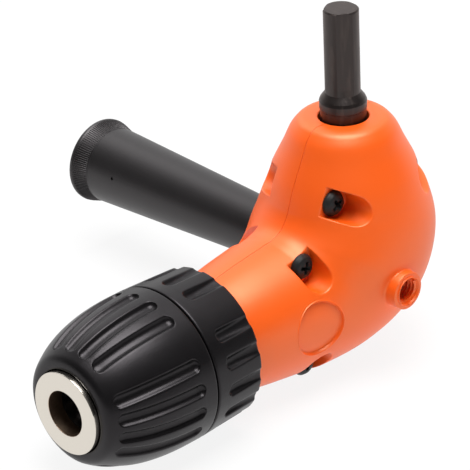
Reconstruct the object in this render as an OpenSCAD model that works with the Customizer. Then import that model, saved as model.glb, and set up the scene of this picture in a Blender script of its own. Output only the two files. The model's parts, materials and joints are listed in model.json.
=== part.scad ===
// Right angle drill attachment: shank, mitre gears, keyless chuck and side handle.
// +Z runs out along the shank, +X out of the chuck, and the side handle points along -Y.
// The origin is on the shank's axis, at the collar's rim where the drill's jaws stop.

/* [Shank] */
// Diameter of the shank that the drill grips
shank_d = 8; // [7.6:0.1:8.4]
// Length of the shank above the collar's rim
shank_len = 21.9; // [18:1:30]
// Depth of each of the three flats
flat_depth = 0.76; // [0.4:0.02:0.9]
// Number of flats round the shank
flat_count = 3; // [3:1:4]
// Direction of the first flat round the shank
flat_turn = 55; // [0:1:119]
// Diameter of the collar under the shank
collar_d = 10.7; // [10:0.1:11]
// How far the collar's rim stands above the body
collar_rise = 3.9; // [2:0.1:6]
// Height of the cone between collar and shank
collar_cone = 2; // [1.5:0.1:4]

/* [Body] */
// Largest half width of the body, at the gears
body_r = 20.7; // [20.2:0.1:21.6]
// Height of the body's top face above the chuck's axis
head_h = 38.4; // [37.6:0.2:40]
// Reach of the nose from the shank's axis
nose_x = 44.6; // [44.2:0.1:46]
// Where the inner corner of the elbow turns, out from the shank's axis
elbow_x = 25; // [24.5:0.1:26]
// Where the inner corner of the elbow turns, above the chuck's axis
elbow_z = 21.5; // [21:0.1:22.5]
// Wall of the moulded halves
shell_wall = 2.6; // [2:0.1:3]
// Diameter of the hole round the collar
collar_hole_d = 11.42; // [11.3:0.02:12]
// Diameter of the round badge recess
badge_d = 12; // [8:0.5:13]
// Depth of the badge recess
badge_depth = 0.4; // [0.2:0.05:0.8]
// Distance of the badge from the shank's axis
badge_x = 23; // [21:0.5:26]

/* [Screws] */
// Diameter of a screw's head
screw_head_d = 6; // [5:0.1:6.4]
// Height of a screw's head
screw_head_h = 2.2; // [1.6:0.1:2.6]
// Diameter of a screw's thread
screw_d = 3; // [2.5:0.1:3.4]
// Length of a screw under its head
screw_len = 14.6; // [12:0.2:15]
// Distance of the screw seats from the split face
seat_y = 8; // [7.6:0.1:8.6]
// Width of a screw pocket
pocket_w = 7.4; // [7:0.1:7.8]
// Side distance of the two upper screws from the shank's axis
high_screw_x = 12.3; // [12:0.1:12.8]
// Height of the two upper screws above the chuck's axis
high_screw_z = 23.8; // [23.4:0.1:24.2]
// Reach of the two screws beside the chuck's axis
side_screw_x = 22.3; // [22:0.1:22.8]
// Distance of those two screws from the chuck's axis
side_screw_z = 12.2; // [12:0.1:12.6]

/* [Gears] */
// Number of teeth on each mitre gear
gear_teeth = 16; // [14:2:18]
// Module at the large end of the teeth
gear_module = 1.25; // [1.1:0.05:1.3]
// Length of the teeth along the cone
gear_face = 5; // [4:0.2:5.6]
// Play between meshing teeth
gear_play = 0.16; // [0.1:0.02:0.3]
// Diameter of the gear hubs
hub_d = 14; // [13:0.2:14.6]
// Distance from the pitch plane to the back of a hub
hub_len = 7.5; // [7:0.1:8]
// Diameter of the cross pins through the hubs
cross_pin_d = 2.5; // [2:0.1:3]

/* [Bearings] */
// Outer diameter of the input ball bearing
in_bearing_od = 19; // [18.6:0.1:19.4]
// Diameter of the input journal
in_journal_d = 8; // [7.6:0.1:8.4]
// Outer diameter of the output ball bearing
out_bearing_od = 20; // [19.6:0.1:20.4]
// Diameter of the output journal
out_journal_d = 9; // [8.6:0.1:9.4]
// Width of the spindle's ball bearing
bearing_w = 6; // [5.6:0.1:6.2]
// Diameter of the bearing balls
bearing_ball_d = 3; // [2.6:0.1:3.2]
// Number of balls in each bearing
bearing_balls = 8; // [7:1:9]
// Outer diameter of the input bush
in_bush_od = 13; // [12:0.2:14]
// Outer diameter of the output bush
out_bush_od = 14; // [13:0.2:15]
// Length of the spindle's bush
bush_len = 6; // [5:0.2:6.4]

/* [Chuck] */
// Outer diameter of the gripping sleeves
chuck_d = 36; // [35.4:0.1:38]
// Reach of the nose ring's front face from the shank's axis
chuck_front_x = 86.5; // [86.1:0.1:87.4]
// Reach of the seam between the two sleeves
chuck_seam_x = 58.5; // [58.2:0.1:59]
// Reach of the rear sleeve's free edge
chuck_rear_x = 45.8; // [45.4:0.1:46.2]
// Outer diameter of the rear sleeve at its free edge
chuck_rear_d = 34.2; // [34:0.1:35]
// Diameter of the hole for the bit
bit_hole_d = 10.4; // [10.2:0.05:10.6]
// Outer diameter of the bright nose ring
nose_ring_d = 18.9; // [18.6:0.02:19.1]
// How far the nose ring stands out of the front sleeve
ring_proud = 1.2; // [0.8:0.1:1.8]
// Diameter of the chuck body
chuck_core_d = 28.6; // [28.4:0.1:29]
// Diameter of the spindle's thread in the chuck
spindle_thread_d = 9.52; // [9.2:0.02:9.8]
// Smallest bit that the jaws close on
bit_min_d = 0.8; // [0.6:0.1:1.5]
// Diameter of a jaw
jaw_d = 5; // [4.8:0.1:5.2]
// Length of a jaw along the chuck
jaw_len = 22; // [21:0.2:22.6]
// Slope of the jaws to the chuck's axis
jaw_slope = 16.5; // [16:0.1:17]
// Number of flutes in each group on the front sleeve
flute_count = 4; // [3:1:4]
// Number of flute groups
flute_groups = 4; // [3:1:4]
// Width of a flute
flute_w = 2.6; // [2:0.1:3]
// Number of grooves in each group on the rear sleeve
groove_count = 5; // [3:1:5]
// Number of groove groups
groove_groups = 3; // [2:1:3]
// Width of a groove
groove_w = 2.3; // [1.8:0.1:2.6]

/* [Handle] */
// Reach of the handle's axis from the shank's axis
handle_x = 4; // [3:0.2:5]
// Height of the handle's axis above the chuck's axis
handle_z = 3.6; // [3:0.2:4.4]
// Diameter of the handle's thread
handle_thread_d = 6; // [5:0.1:6.4]
// Drilled diameter of the free threaded boss
boss_hole_d = 5.06; // [4.4:0.02:5.4]
// Outer diameter of the threaded bosses
boss_d = 8.8; // [8.4:0.1:10]
// How far the threaded bosses stand out past the body's half width
boss_rise = 2.2; // [1.8:0.1:3.3]
// Length of the handle's grip
grip_len = 53.8; // [40:0.2:80]
// Diameter of the grip at the body
grip_d = 14; // [13:0.2:16]
// Diameter of the grip at its far end
grip_end_d = 18.2; // [16:0.2:19]
// Largest diameter of the flared, knurled end flange
flange_d = 20.4; // [19.6:0.1:22]
// Width of the end flange
flange_w = 5.1; // [4:0.1:7]
// Number of knurl grooves round the flange
knurl_count = 48; // [24:4:60]

/* [Hidden] */
$fn = 64;

// Clearances and the overrun of every cut
overrun = 1;
fit_gap = 0.02;
run_gap = 0.05;
free_gap = 0.3;
axial_gap = 0.1;

// Height of the shank's origin above the chuck's axis
axis_drop = head_h + collar_rise;
shank_r = shank_d / 2;
collar_r = collar_d / 2;
shank_tip_z = axis_drop + shank_len;
tip_chamfer = 0.3;
rim_round = 0.3;
collar_band = 0.15;
collar_neck_z = head_h + collar_rise / 2;

// Outline of the body: shares of the half width along the bell, round the elbow and along the nose
bell_shares = [[0, 0.415], [0.024, 0.478], [0.083, 0.531], [0.172, 0.585], [0.379, 0.662],
  [0.533, 0.725], [0.716, 0.797], [0.864, 0.845], [1, 0.884]];
// Turn, half depth, half width and outward shift of each section that fans round the elbow
elbow_shares = [[0, 0.884, 0.884, 0], [0.133, 0.966, 0.957, 0.085], [0.267, 0.995, 0.995, 0.122],
  [0.4, 0.986, 0.995, 0.126], [0.533, 0.957, 0.942, 0.11], [0.667, 0.908, 0.87, 0.074],
  [0.833, 0.835, 0.812, 0.021], [1, 0.778, 0.778, 0]];
nose_shares = [[0, 0.778], [0.255, 0.749], [0.459, 0.725], [0.663, 0.696], [0.816, 0.671],
  [0.944, 0.647], [1, 0.609]];
bell_step_shares = [0, 0.024, 0.05, 0.083, 0.125, 0.172, 0.27, 0.379, 0.533, 0.716, 0.864];
elbow_count = 15;
nose_step_shares = [0.13, 0.255, 0.36, 0.459, 0.56, 0.663, 0.74, 0.816, 0.88, 0.944, 0.975, 1];
half_points = 24;

// Mitre gears: both pitch cones meet on the crossing of the two axes
pitch_r = gear_teeth * gear_module / 2;
cone_len = pitch_r * sqrt(2);
toe_share = 1 - gear_face / cone_len;
addendum = gear_module;
dedendum_share = 1.12;
dedendum = gear_module * dedendum_share;
pressure_angle = 20;
flank_points = 5;
hub_r = hub_d / 2;
hub_back = pitch_r + hub_len;
gear_span_share = 1.15;
gear_span = pitch_r * gear_span_share;
toe_plane_share = 0.55;
toe_plane = pitch_r * toe_plane_share;
root_ratio = (pitch_r - dedendum / sqrt(2)) / (pitch_r + dedendum / sqrt(2));
root_sink_share = 0.01;
body_ratio = root_ratio + root_sink_share;
tip_heel_r = pitch_r + addendum / sqrt(2);
cross_pin_r = cross_pin_d / 2;
shaft_end = 2 * pitch_r * toe_share / (1 + body_ratio) - axial_gap;
cross_pin_at = (2 * pitch_r - hub_r + hub_back) / 2;

// Stack along each shaft, measured from the crossing of the axes
washer_t = 0.7;
bush_start = hub_back + washer_t + 2 * axial_gap;
in_journal_r = in_journal_d / 2;
out_journal_r = out_journal_d / 2;
circlip_t = 0.8;
circlip_groove = 0.4;
circlip_w = 1.5;
circlip_gap_w = 3;
circlip_lug = 0.9;
in_seat_share = 0.74;
in_clip_room = 2.8;
in_bearing_top = bush_start + (head_h - bush_start) * in_seat_share;
in_bearing_w = (in_bearing_top - bush_start - in_clip_room) / 2;
in_bush_len = in_bearing_w;
in_bearing_bot = in_bearing_top - in_bearing_w;
out_bearing_inset = 2.6;
out_bearing_front = nose_x - out_bearing_inset;
out_bearing_rear = out_bearing_front - bearing_w;
race_w = 1.55;
race_clear = 0.04;
spindle_flange_r = 6.6;
flange_into_chuck = 1;
spindle_flange_end = chuck_rear_x + flange_into_chuck;
flange_hole_gap = 0.4;
gear_space_r = tip_heel_r + free_gap + overrun;
gear_space_start = 3;
post_wall = 1.8;
carrier_wall = 2.4;

// Screws: place in the split plane and the direction in which the pocket runs out of the body
high_screw_turn = 24;
side_screw_turn = 75;
SCREWS = [[-high_screw_x, high_screw_z, 180 - high_screw_turn],
  [high_screw_x, high_screw_z, high_screw_turn],
  [side_screw_x, side_screw_z, side_screw_turn], [side_screw_x, -side_screw_z, -side_screw_turn]];
pocket_back = 1.8;
pocket_reach = 2 * body_r;
screw_r = screw_d / 2;
screw_clear = 0.2;
driver_w = 0.8;
driver_len_share = 0.62;
driver_depth_share = 0.55;
head_crown_share = 0.45;

// Bosses and handle
handle_r = handle_thread_d / 2;
boss_r = boss_d / 2;
boss_start = tip_heel_r + free_gap + 2 * overrun;
boss_y = body_r + boss_rise;
boss_mouth = 0.5;
boss_rim_w = 1;
boss_rim_h = 0.35;
boss_foot_w = 0.8;
boss_foot_r = boss_r + boss_foot_w;
washer_play = 0.1;
handle_washer_t = 1.1;
handle_washer_r = 6.4;
grip_start = boss_y + handle_washer_t + 2 * washer_play;
grip_end = grip_start + grip_len;
grip_wall = 2.4;
grip_shoulder = 0.8;
grip_throat_r = 6.5;
stud_inner = boss_start;
stud_in_grip = 20;
stud_insert_r = 4.4;
stud_insert_flats = 6;
plug_t = 2.4;
plug_recess = 0.8;
knurl_depth = 0.45;
knurl_w = 0.55;
knurl_land = 0.5;
flange_rim = 1;
witness_r = 0.6;
witness_depth = 0.3;
witness_share = 0.88;
witness_turn = 35;

// Chuck
chuck_r = chuck_d / 2;
seam_gap = 0.35;
core_r = chuck_core_d / 2;
bit_r = bit_hole_d / 2;
jaw_r = jaw_d / 2;
jaw_reach = jaw_r / cos(jaw_slope);
jaw_hole_gap = 0.1;
bit_room = 0.3;
jaw_tip_proud = 0.1;
jaw_tip_x = chuck_front_x + jaw_tip_proud;
jaw_closed_r = bit_min_d / 2;
jaw_open_r = bit_r + run_gap;
jaw_travel_x = (jaw_open_r - jaw_closed_r) / tan(jaw_slope);
jaw_tip_lift = 0.7;
jaw_edge_gap = 0.12;
jaw_tooth_pitch = 1.6;
jaw_tooth_w = 0.7;
jaw_tooth_depth = 0.45;
jaw_tooth_count = 5;
jaw_axis_turn = 90;
core_rear_x = spindle_flange_end;
spindle_thread_len = 13;
spindle_end_x = core_rear_x + spindle_thread_len;
chuck_web = 3.2;
web_end_x = spindle_end_x + chuck_web;
nut_len = 4.8;
nut_from_seam = 6.3;
nut_start_x = chuck_seam_x + nut_from_seam;
nut_end_x = nut_start_x + nut_len;
nut_r = 13.6;
nut_split_gap = 0.2;
nut_thread_gap = 0.15;
collar_wall = 1;
nut_collar_r = nut_r + collar_wall;
thrust_ball_r = 1;
thrust_ball_count = 24;
thrust_ring_r = 12.75;
thrust_ring_w = 0.9;
thrust_ring_h = 0.7;
thrust_washer_t = 0.8;
shoulder_x = nut_start_x - 2 * thrust_ball_r - thrust_washer_t - 3 * axial_gap;
waist_r = 8.5;
nut_room = 0.7;
front_core_x = nut_end_x + nut_room;
front_core_r = 11;
core_taper_x = 76.4;
sleeve_front_x = chuck_front_x - ring_proud;
ring_plate = 3.9;
ring_skirt = 2.6;
ring_rear_x = chuck_front_x - ring_plate - ring_skirt;
ring_r = nose_ring_d / 2;
ring_chamfer = 0.2;
spigot_r = 7.6;
core_front_x = chuck_front_x - ring_plate;
sleeve_ring_gap = 0.23;
sleeve_lip = 2.12;
lip_r = ring_r + sleeve_ring_gap + sleeve_lip;
bulge_from_seam = 3.5;
bulge_start_x = chuck_seam_x + bulge_from_seam;
bulge_power = 2.25;
bulge_steps = 14;
bulge_len = (sleeve_front_x - bulge_start_x) /
  pow(1 - pow(lip_r / chuck_r, bulge_power), 1 / bulge_power);
edge_round = 0.5;
flute_pitch = 18;
flute_turn = -25.5;
flute_from_seam = 4.1;
flute_rear_x = chuck_seam_x + flute_from_seam + flute_w / 2;
flute_front_x = 82;
flute_rear_r = chuck_r;
flute_front_r = 14.5;
flute_front_reach = 6;
groove_pitch = 20.8;
groove_turn = 52;
groove_to_seam = 2.3;
groove_front_x = chuck_seam_x - groove_to_seam - groove_w / 2;
groove_lift = 0.2;
chuck_screw_r = 2.5;
chuck_screw_head_r = 4.2;
chuck_screw_head_h = 3.2;
chuck_screw_slot = 1.2;
chuck_screw_reach = 8;
sleeve_bore_r = nut_collar_r;
skirt_gap = 1.2;
sleeve_skirt_r = core_r + skirt_gap;
sleeve_inner_front_r = 11.9;

// Helpers that stand a shape on one of the axes
module at_gears() { translate([0, 0, -axis_drop]) children(); }
module along_x() { rotate([0, 90, 0]) children(); }
module tube(outer, inner, from, to) {
  translate([0, 0, from]) difference() {
    cylinder(r = outer, h = to - from);
    translate([0, 0, -overrun]) cylinder(r = inner, h = to - from + 2 * overrun);
  }
}
module rod(radius, from, to) { translate([0, 0, from]) cylinder(r = radius, h = to - from); }
module at_handle() { translate([handle_x, 0, handle_z]) rotate([90, 0, 0]) children(); }

// Smooth curve through a table whose first column is the place
function table_step(table, at, i = 0) =
  (i >= len(table) - 2 || at <= table[i + 1][0]) ? i : table_step(table, at, i + 1);
function table_slope(table, column, i) =
  let (low = max(i - 1, 0), high = min(i + 1, len(table) - 1))
  (table[high][column] - table[low][column]) / (table[high][0] - table[low][0]);
function table_curve(table, column, at) =
  let (i = table_step(table, at), span = table[i + 1][0] - table[i][0], t = (at - table[i][0]) / span,
    rise_low = table_slope(table, column, i) * span, rise_high = table_slope(table, column, i + 1) * span)
  (2 * pow(t, 3) - 3 * pow(t, 2) + 1) * table[i][column] + (pow(t, 3) - 2 * pow(t, 2) + t) * rise_low
  + (3 * pow(t, 2) - 2 * pow(t, 3)) * table[i + 1][column] + (pow(t, 3) - pow(t, 2)) * rise_high;

// Half sections of the body, from the top of the bell round the elbow to the nose
function half_turns() = [for (k = [0 : half_points]) 180 * k / half_points];
function bell_ring(share, inset) =
  let (z = head_h - share * (head_h - elbow_z), r = table_curve(bell_shares, 1, share) * body_r - inset)
  [for (a = half_turns()) [r * cos(a), r * sin(a), z]];
function elbow_ring(share, inset) =
  let (turn = 90 * share, deep = table_curve(elbow_shares, 1, share) * body_r - inset,
    wide = table_curve(elbow_shares, 2, share) * body_r - inset,
    away = elbow_x + (elbow_z - elbow_x) * share + table_curve(elbow_shares, 3, share) * body_r)
  [for (a = half_turns()) [elbow_x - (away - deep * cos(a)) * cos(turn), wide * sin(a),
    elbow_z - (away - deep * cos(a)) * sin(turn)]];
function nose_ring_points(share, inset) =
  let (x = elbow_x + share * (nose_x - elbow_x), r = table_curve(nose_shares, 1, share) * body_r - inset)
  [for (a = half_turns()) [x, r * sin(a), r * cos(a)]];
function body_rings(inset) = concat(
  [for (s = bell_step_shares) bell_ring(s, inset)],
  [for (k = [0 : elbow_count]) elbow_ring(k / elbow_count, inset)],
  [for (s = nose_step_shares) nose_ring_points(s, inset)]);

// Solid half of the body on the near side, shrunk all round by inset
module half_skin(inset) {
  rings = body_rings(inset);
  ring_points = half_points + 1;
  last = len(rings) - 1;
  polyhedron(
    points = [for (ring = rings) for (p = ring) p],
    faces = concat(
      [[for (k = [half_points : -1 : 0]) k]],
      [[for (k = [0 : half_points]) last * ring_points + k]],
      [for (i = [0 : last - 1]) for (k = [0 : half_points]) let (n = (k + 1) % ring_points)
        [i * ring_points + k, i * ring_points + n, (i + 1) * ring_points + k]],
      [for (i = [0 : last - 1]) for (k = [0 : half_points]) let (n = (k + 1) % ring_points)
        [i * ring_points + n, (i + 1) * ring_points + n, (i + 1) * ring_points + k]]));
}

// Slot along Y with one round end, running outwards from a screw
module pocket(screw, width, from, to) {
  translate([screw[0], from, screw[1]]) rotate([-90, 0, 0]) rotate([0, 0, -screw[2]])
    translate([-pocket_back, 0, 0]) {
      cylinder(d = width, h = to - from);
      translate([0, -width / 2, 0]) cube([pocket_reach, width, to - from]);
    }
}

// What stays solid inside a half: bearing carriers, screw posts and the boss's root
module inner_ribs() {
  rod(in_bearing_od / 2 + carrier_wall, bush_start, head_h + overrun);
  along_x() rod(out_bearing_od / 2 + carrier_wall, bush_start, nose_x + overrun);
  for (s = SCREWS) pocket(s, pocket_w + 2 * post_wall, -overrun, body_r + overrun);
  translate([handle_x, 0, handle_z]) rotate([-90, 0, 0]) rod(boss_foot_r, boss_start, body_r + overrun);
}

// Room for the shafts, bearings and gears
module drive_space() {
  rod(collar_hole_d / 2, in_bearing_top - overrun, head_h + overrun);
  rod(in_bearing_od / 2 + fit_gap, in_bearing_bot, in_bearing_top);
  rod(in_journal_r + circlip_w + 2 * circlip_lug, bush_start + in_bush_len, in_bearing_bot + fit_gap);
  rod(in_bush_od / 2 + fit_gap, bush_start - overrun, bush_start + in_bush_len + fit_gap);
  rod(gear_space_r, gear_space_start, bush_start);
  along_x() {
    rod(spindle_flange_r + flange_hole_gap, out_bearing_front - overrun, nose_x + overrun);
    rod(out_bearing_od / 2 + fit_gap, out_bearing_rear, out_bearing_front);
    rod(out_journal_r + circlip_w + 2 * circlip_lug, bush_start + bush_len, out_bearing_rear + fit_gap);
    rod(out_bush_od / 2 + fit_gap, bush_start - overrun, bush_start + bush_len + fit_gap);
    rod(gear_space_r, gear_space_start, bush_start);
  }
}

// One moulded half, drawn on the near side, with its boss drilled to the given radius
module housing_half(boss_hole_r) {
  difference() {
    union() {
      half_skin(0);
      translate([handle_x, 0, handle_z]) rotate([-90, 0, 0]) {
        rod(boss_r, boss_start, boss_y - boss_rim_h);
        rod(boss_r - boss_rim_w, boss_start, boss_y);
      }
    }
    difference() {
      half_skin(shell_wall);
      inner_ribs();
    }
    drive_space();
    for (s = SCREWS) pocket(s, pocket_w, seat_y, body_r + overrun);
    for (s = SCREWS) translate([s[0], -overrun, s[1]]) rotate([-90, 0, 0])
      cylinder(r = screw_r + screw_clear, h = seat_y + 2 * overrun);
    translate([handle_x, 0, handle_z]) rotate([-90, 0, 0]) {
      rod(boss_hole_r, boss_start - overrun, boss_y + overrun);
      translate([0, 0, boss_y - boss_mouth])
        cylinder(r1 = boss_hole_r, r2 = boss_hole_r + 2 * boss_mouth, h = 2 * boss_mouth);
    }
  }
}

module housing_near() {
  color("orangered") at_gears() difference() {
    housing_half(boss_hole_d / 2);
    intersection() {
      translate([badge_x, 0, 0]) rotate([-90, 0, 0]) rod(badge_d / 2, seat_y, body_r);
      along_x() tube(body_r, table_curve(nose_shares, 1, 0) * body_r - badge_depth,
        badge_x - badge_d, badge_x + badge_d);
    }
  }
}

module housing_far() {
  color("orangered") at_gears() mirror([0, 1, 0]) housing_half(handle_r + run_gap);
}

module housing_screw() {
  crown_h = screw_head_h * head_crown_share;
  difference() {
    union() {
      rod(screw_r, -screw_len, 0);
      rod(screw_head_d / 2, 0, screw_head_h - crown_h);
      translate([0, 0, screw_head_h - crown_h])
        cylinder(r1 = screw_head_d / 2, r2 = screw_head_d / 2 - crown_h, h = crown_h);
    }
    for (turn = [0, 90]) rotate([0, 0, turn])
      translate([-screw_head_d * driver_len_share / 2, -driver_w / 2,
        screw_head_h - screw_head_h * driver_depth_share])
        cube([screw_head_d * driver_len_share, driver_w, screw_head_h]);
  }
}

module housing_screws() {
  color("black") at_gears()
    for (s = SCREWS) translate([s[0], seat_y, s[1]]) rotate([-90, 0, 0]) housing_screw();
}

// Input shaft with its collar, flats, circlip groove and pin hole
module input_shaft() {
  groove_top = in_bearing_bot - axial_gap;
  color("dimgray") at_gears() difference() {
    rotate_extrude() polygon([[0, shaft_end], [in_journal_r, shaft_end],
      [in_journal_r, groove_top - circlip_t - axial_gap],
      [in_journal_r - circlip_groove, groove_top - circlip_t - axial_gap],
      [in_journal_r - circlip_groove, groove_top], [in_journal_r, groove_top],
      [in_journal_r, in_bearing_top + axial_gap], [collar_r - collar_band, in_bearing_top + axial_gap],
      [collar_r - collar_band, collar_neck_z], [collar_r, collar_neck_z + collar_band],
      [collar_r, axis_drop - rim_round / 3], [collar_r - rim_round, axis_drop + 2 * rim_round],
      [shank_r, axis_drop + collar_cone],
      [shank_r, shank_tip_z - tip_chamfer], [shank_r - tip_chamfer, shank_tip_z], [0, shank_tip_z]]);
    for (k = [0 : flat_count - 1]) rotate([0, 0, flat_turn + 360 * k / flat_count])
      translate([shank_r - flat_depth, -shank_r, axis_drop + collar_cone])
        cube([shank_r, 2 * shank_r, shank_len]);
    translate([0, 0, cross_pin_at]) rotate([90, 0, 0])
      cylinder(r = cross_pin_r + fit_gap, h = 2 * collar_d, center = true);
  }
}

// Involute tooth outline of a mitre gear, worked out on the back cone
function involute(angle) = tan(angle) * 180 / PI - angle;
function flank_angle(radius, base) = acos(min(1, base / radius));
function tooth_half_turn(h) =
  let (base = cone_len * cos(pressure_angle), virtual_teeth = gear_teeth / cos(45),
    play_turn = gear_play / (2 * cone_len) * 180 / PI)
  (90 / virtual_teeth - play_turn + involute(pressure_angle)
    - involute(flank_angle(cone_len + h, base))) / cos(45);
function tooth_radius(h) = pitch_r * (pitch_r + h / sqrt(2)) / (pitch_r - h / sqrt(2));
function tooth_flank() = [for (k = [0 : flank_points])
  let (h = -dedendum + (addendum + dedendum) * k / flank_points) [tooth_radius(h), tooth_half_turn(h)]];
function gear_outline() = let (flank = tooth_flank(), pitch_turn = 360 / gear_teeth)
  [for (t = [0 : gear_teeth - 1]) for (side = [-1, 1]) for (k = [0 : flank_points])
    let (p = side < 0 ? flank[k] : flank[flank_points - k], a = t * pitch_turn + side * p[1])
    [p[0] * cos(a), p[0] * sin(a)]];

// Mitre gear on +Z with its apex at the crossing of the axes
module mitre_gear(bore_r, turn) {
  heel_sum = 2 * pitch_r;
  toe_sum = heel_sum * toe_share;
  back_sum = heel_sum - free_gap;
  toe_z = toe_sum / (1 + body_ratio);
  difference() {
    union() {
      intersection() {
        translate([0, 0, gear_span]) mirror([0, 0, 1]) rotate([0, 0, turn])
          linear_extrude(height = gear_span - toe_plane, scale = toe_plane / gear_span, slices = 1)
            scale([gear_span / pitch_r, gear_span / pitch_r]) polygon(gear_outline());
        rotate_extrude() polygon([[0, toe_sum], [toe_sum, 0], [heel_sum, 0], [0, heel_sum]]);
      }
      rotate_extrude() polygon([[0, toe_z], [toe_z * body_ratio, toe_z],
        [back_sum * body_ratio / (1 + body_ratio), back_sum / (1 + body_ratio)],
        [hub_r, back_sum - hub_r], [hub_r, hub_back], [0, hub_back]]);
    }
    rod(bore_r + fit_gap, -overrun, hub_back + overrun);
    translate([0, 0, cross_pin_at]) rotate([90, 0, 0])
      cylinder(r = cross_pin_r + fit_gap, h = 2 * hub_d, center = true);
  }
}
module cross_pin() {
  translate([0, 0, cross_pin_at]) rotate([90, 0, 0])
    cylinder(r = cross_pin_r, h = hub_d - 2 * free_gap, center = true);
}

module input_gear() { color("slategray") at_gears() mitre_gear(in_journal_r, 0); }
module input_gear_pin() { color("silver") at_gears() cross_pin(); }
module output_gear() {
  color("slategray") at_gears() along_x() mitre_gear(out_journal_r, 180 / gear_teeth);
}
module output_gear_pin() { color("silver") at_gears() along_x() cross_pin(); }

module stack_washer(bore_r) {
  tube(hub_r, bore_r + run_gap, hub_back + axial_gap, hub_back + axial_gap + washer_t);
}
module input_washer() { color("goldenrod") at_gears() stack_washer(in_journal_r); }
module output_washer() { color("goldenrod") at_gears() along_x() stack_washer(out_journal_r); }

module circlip(journal_r, at) {
  inner = journal_r - circlip_groove + fit_gap;
  difference() {
    union() {
      tube(inner + circlip_w, inner, at, at + circlip_t);
      for (side = [-1, 1]) translate([side * (circlip_gap_w / 2 + circlip_lug), -inner - circlip_w / 2, at])
        cylinder(r = circlip_lug, h = circlip_t);
    }
    translate([-circlip_gap_w / 2, -inner - 2 * circlip_w, at - overrun])
      cube([circlip_gap_w, inner + 2 * circlip_w, circlip_t + 2 * overrun]);
    rod(inner, at - overrun, at + circlip_t + overrun);
  }
}
module input_circlip() {
  color("dimgray") at_gears() circlip(in_journal_r, in_bearing_bot - axial_gap * 1.5 - circlip_t);
}
module output_circlip() {
  color("dimgray") at_gears() along_x()
    circlip(out_journal_r, out_bearing_rear - axial_gap * 1.5 - circlip_t);
}

module bush(outer_r, journal_r, long) { tube(outer_r, journal_r + run_gap, bush_start, bush_start + long); }
module input_bush() { color("peru") at_gears() bush(in_bush_od / 2, in_journal_r, in_bush_len); }
module output_bush() { color("peru") at_gears() along_x() bush(out_bush_od / 2, out_journal_r, bush_len); }

// Ball bearing parts on +Z, lying from z = from up
function ball_ring_r(journal_r, outer_r) = (journal_r + outer_r) / 2;
module ball_track(journal_r, outer_r, from, wide) {
  track_r = bearing_ball_d / 2 + race_clear;
  translate([0, 0, from + wide / 2]) rotate_extrude()
    translate([ball_ring_r(journal_r, outer_r), 0]) circle(r = track_r);
}
module bearing_outer(journal_r, outer_r, from, wide) {
  difference() {
    tube(outer_r, outer_r - race_w, from, from + wide);
    ball_track(journal_r, outer_r, from, wide);
  }
}
module bearing_inner(journal_r, outer_r, from, wide) {
  difference() {
    tube(journal_r + race_w, journal_r + fit_gap, from, from + wide);
    ball_track(journal_r, outer_r, from, wide);
  }
}
module bearing_balls_and_cage(journal_r, outer_r, from, wide) {
  ring_r = ball_ring_r(journal_r, outer_r);
  half_gap = (outer_r - journal_r) / 2 - race_w - free_gap;
  translate([0, 0, from + wide / 2]) {
    for (k = [0 : bearing_balls - 1]) rotate([0, 0, 360 * k / bearing_balls])
      translate([ring_r, 0, 0]) sphere(d = bearing_ball_d);
    tube(ring_r + half_gap, ring_r - half_gap, -bearing_ball_d / 4, bearing_ball_d / 4);
  }
}
module input_bearing_outer() {
  color("silver") at_gears()
    bearing_outer(in_journal_r, in_bearing_od / 2, in_bearing_bot, in_bearing_w);
}
module input_bearing_inner() {
  color("silver") at_gears()
    bearing_inner(in_journal_r, in_bearing_od / 2, in_bearing_bot, in_bearing_w);
}
module input_bearing_balls() {
  color("gold") at_gears()
    bearing_balls_and_cage(in_journal_r, in_bearing_od / 2, in_bearing_bot, in_bearing_w);
}
module output_bearing_outer() {
  color("silver") at_gears() along_x()
    bearing_outer(out_journal_r, out_bearing_od / 2, out_bearing_rear, bearing_w);
}
module output_bearing_inner() {
  color("silver") at_gears() along_x()
    bearing_inner(out_journal_r, out_bearing_od / 2, out_bearing_rear, bearing_w);
}
module output_bearing_balls() {
  color("gold") at_gears() along_x()
    bearing_balls_and_cage(out_journal_r, out_bearing_od / 2, out_bearing_rear, bearing_w);
}

// Output spindle, threaded into the chuck body
module output_spindle() {
  groove_end = out_bearing_rear - axial_gap;
  thread_r = spindle_thread_d / 2;
  color("dimgray") at_gears() along_x() difference() {
    rotate_extrude() polygon([[0, shaft_end], [out_journal_r, shaft_end],
      [out_journal_r, groove_end - circlip_t - axial_gap],
      [out_journal_r - circlip_groove, groove_end - circlip_t - axial_gap],
      [out_journal_r - circlip_groove, groove_end], [out_journal_r, groove_end],
      [out_journal_r, out_bearing_front + axial_gap],
      [spindle_flange_r, out_bearing_front + axial_gap], [spindle_flange_r, spindle_flange_end],
      [thread_r, spindle_flange_end], [thread_r, spindle_end_x - edge_round],
      [thread_r - edge_round, spindle_end_x], [0, spindle_end_x]]);
    rod(chuck_screw_r + fit_gap, spindle_end_x - chuck_screw_reach - overrun, spindle_end_x + overrun);
    translate([0, 0, cross_pin_at]) rotate([90, 0, 0])
      cylinder(r = cross_pin_r + fit_gap, h = 2 * hub_d, center = true);
  }
}

// Distance of a jaw's axis from the chuck's axis; a jaw slides along this line
function jaw_axis_r(x) = jaw_closed_r + jaw_tip_lift + (jaw_tip_x - x) * tan(jaw_slope);
module along_jaw(turn) {
  rotate([0, 0, turn]) translate([jaw_axis_r(jaw_tip_x), 0, jaw_tip_x]) rotate([0, -jaw_slope, 0])
    children();
}

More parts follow.
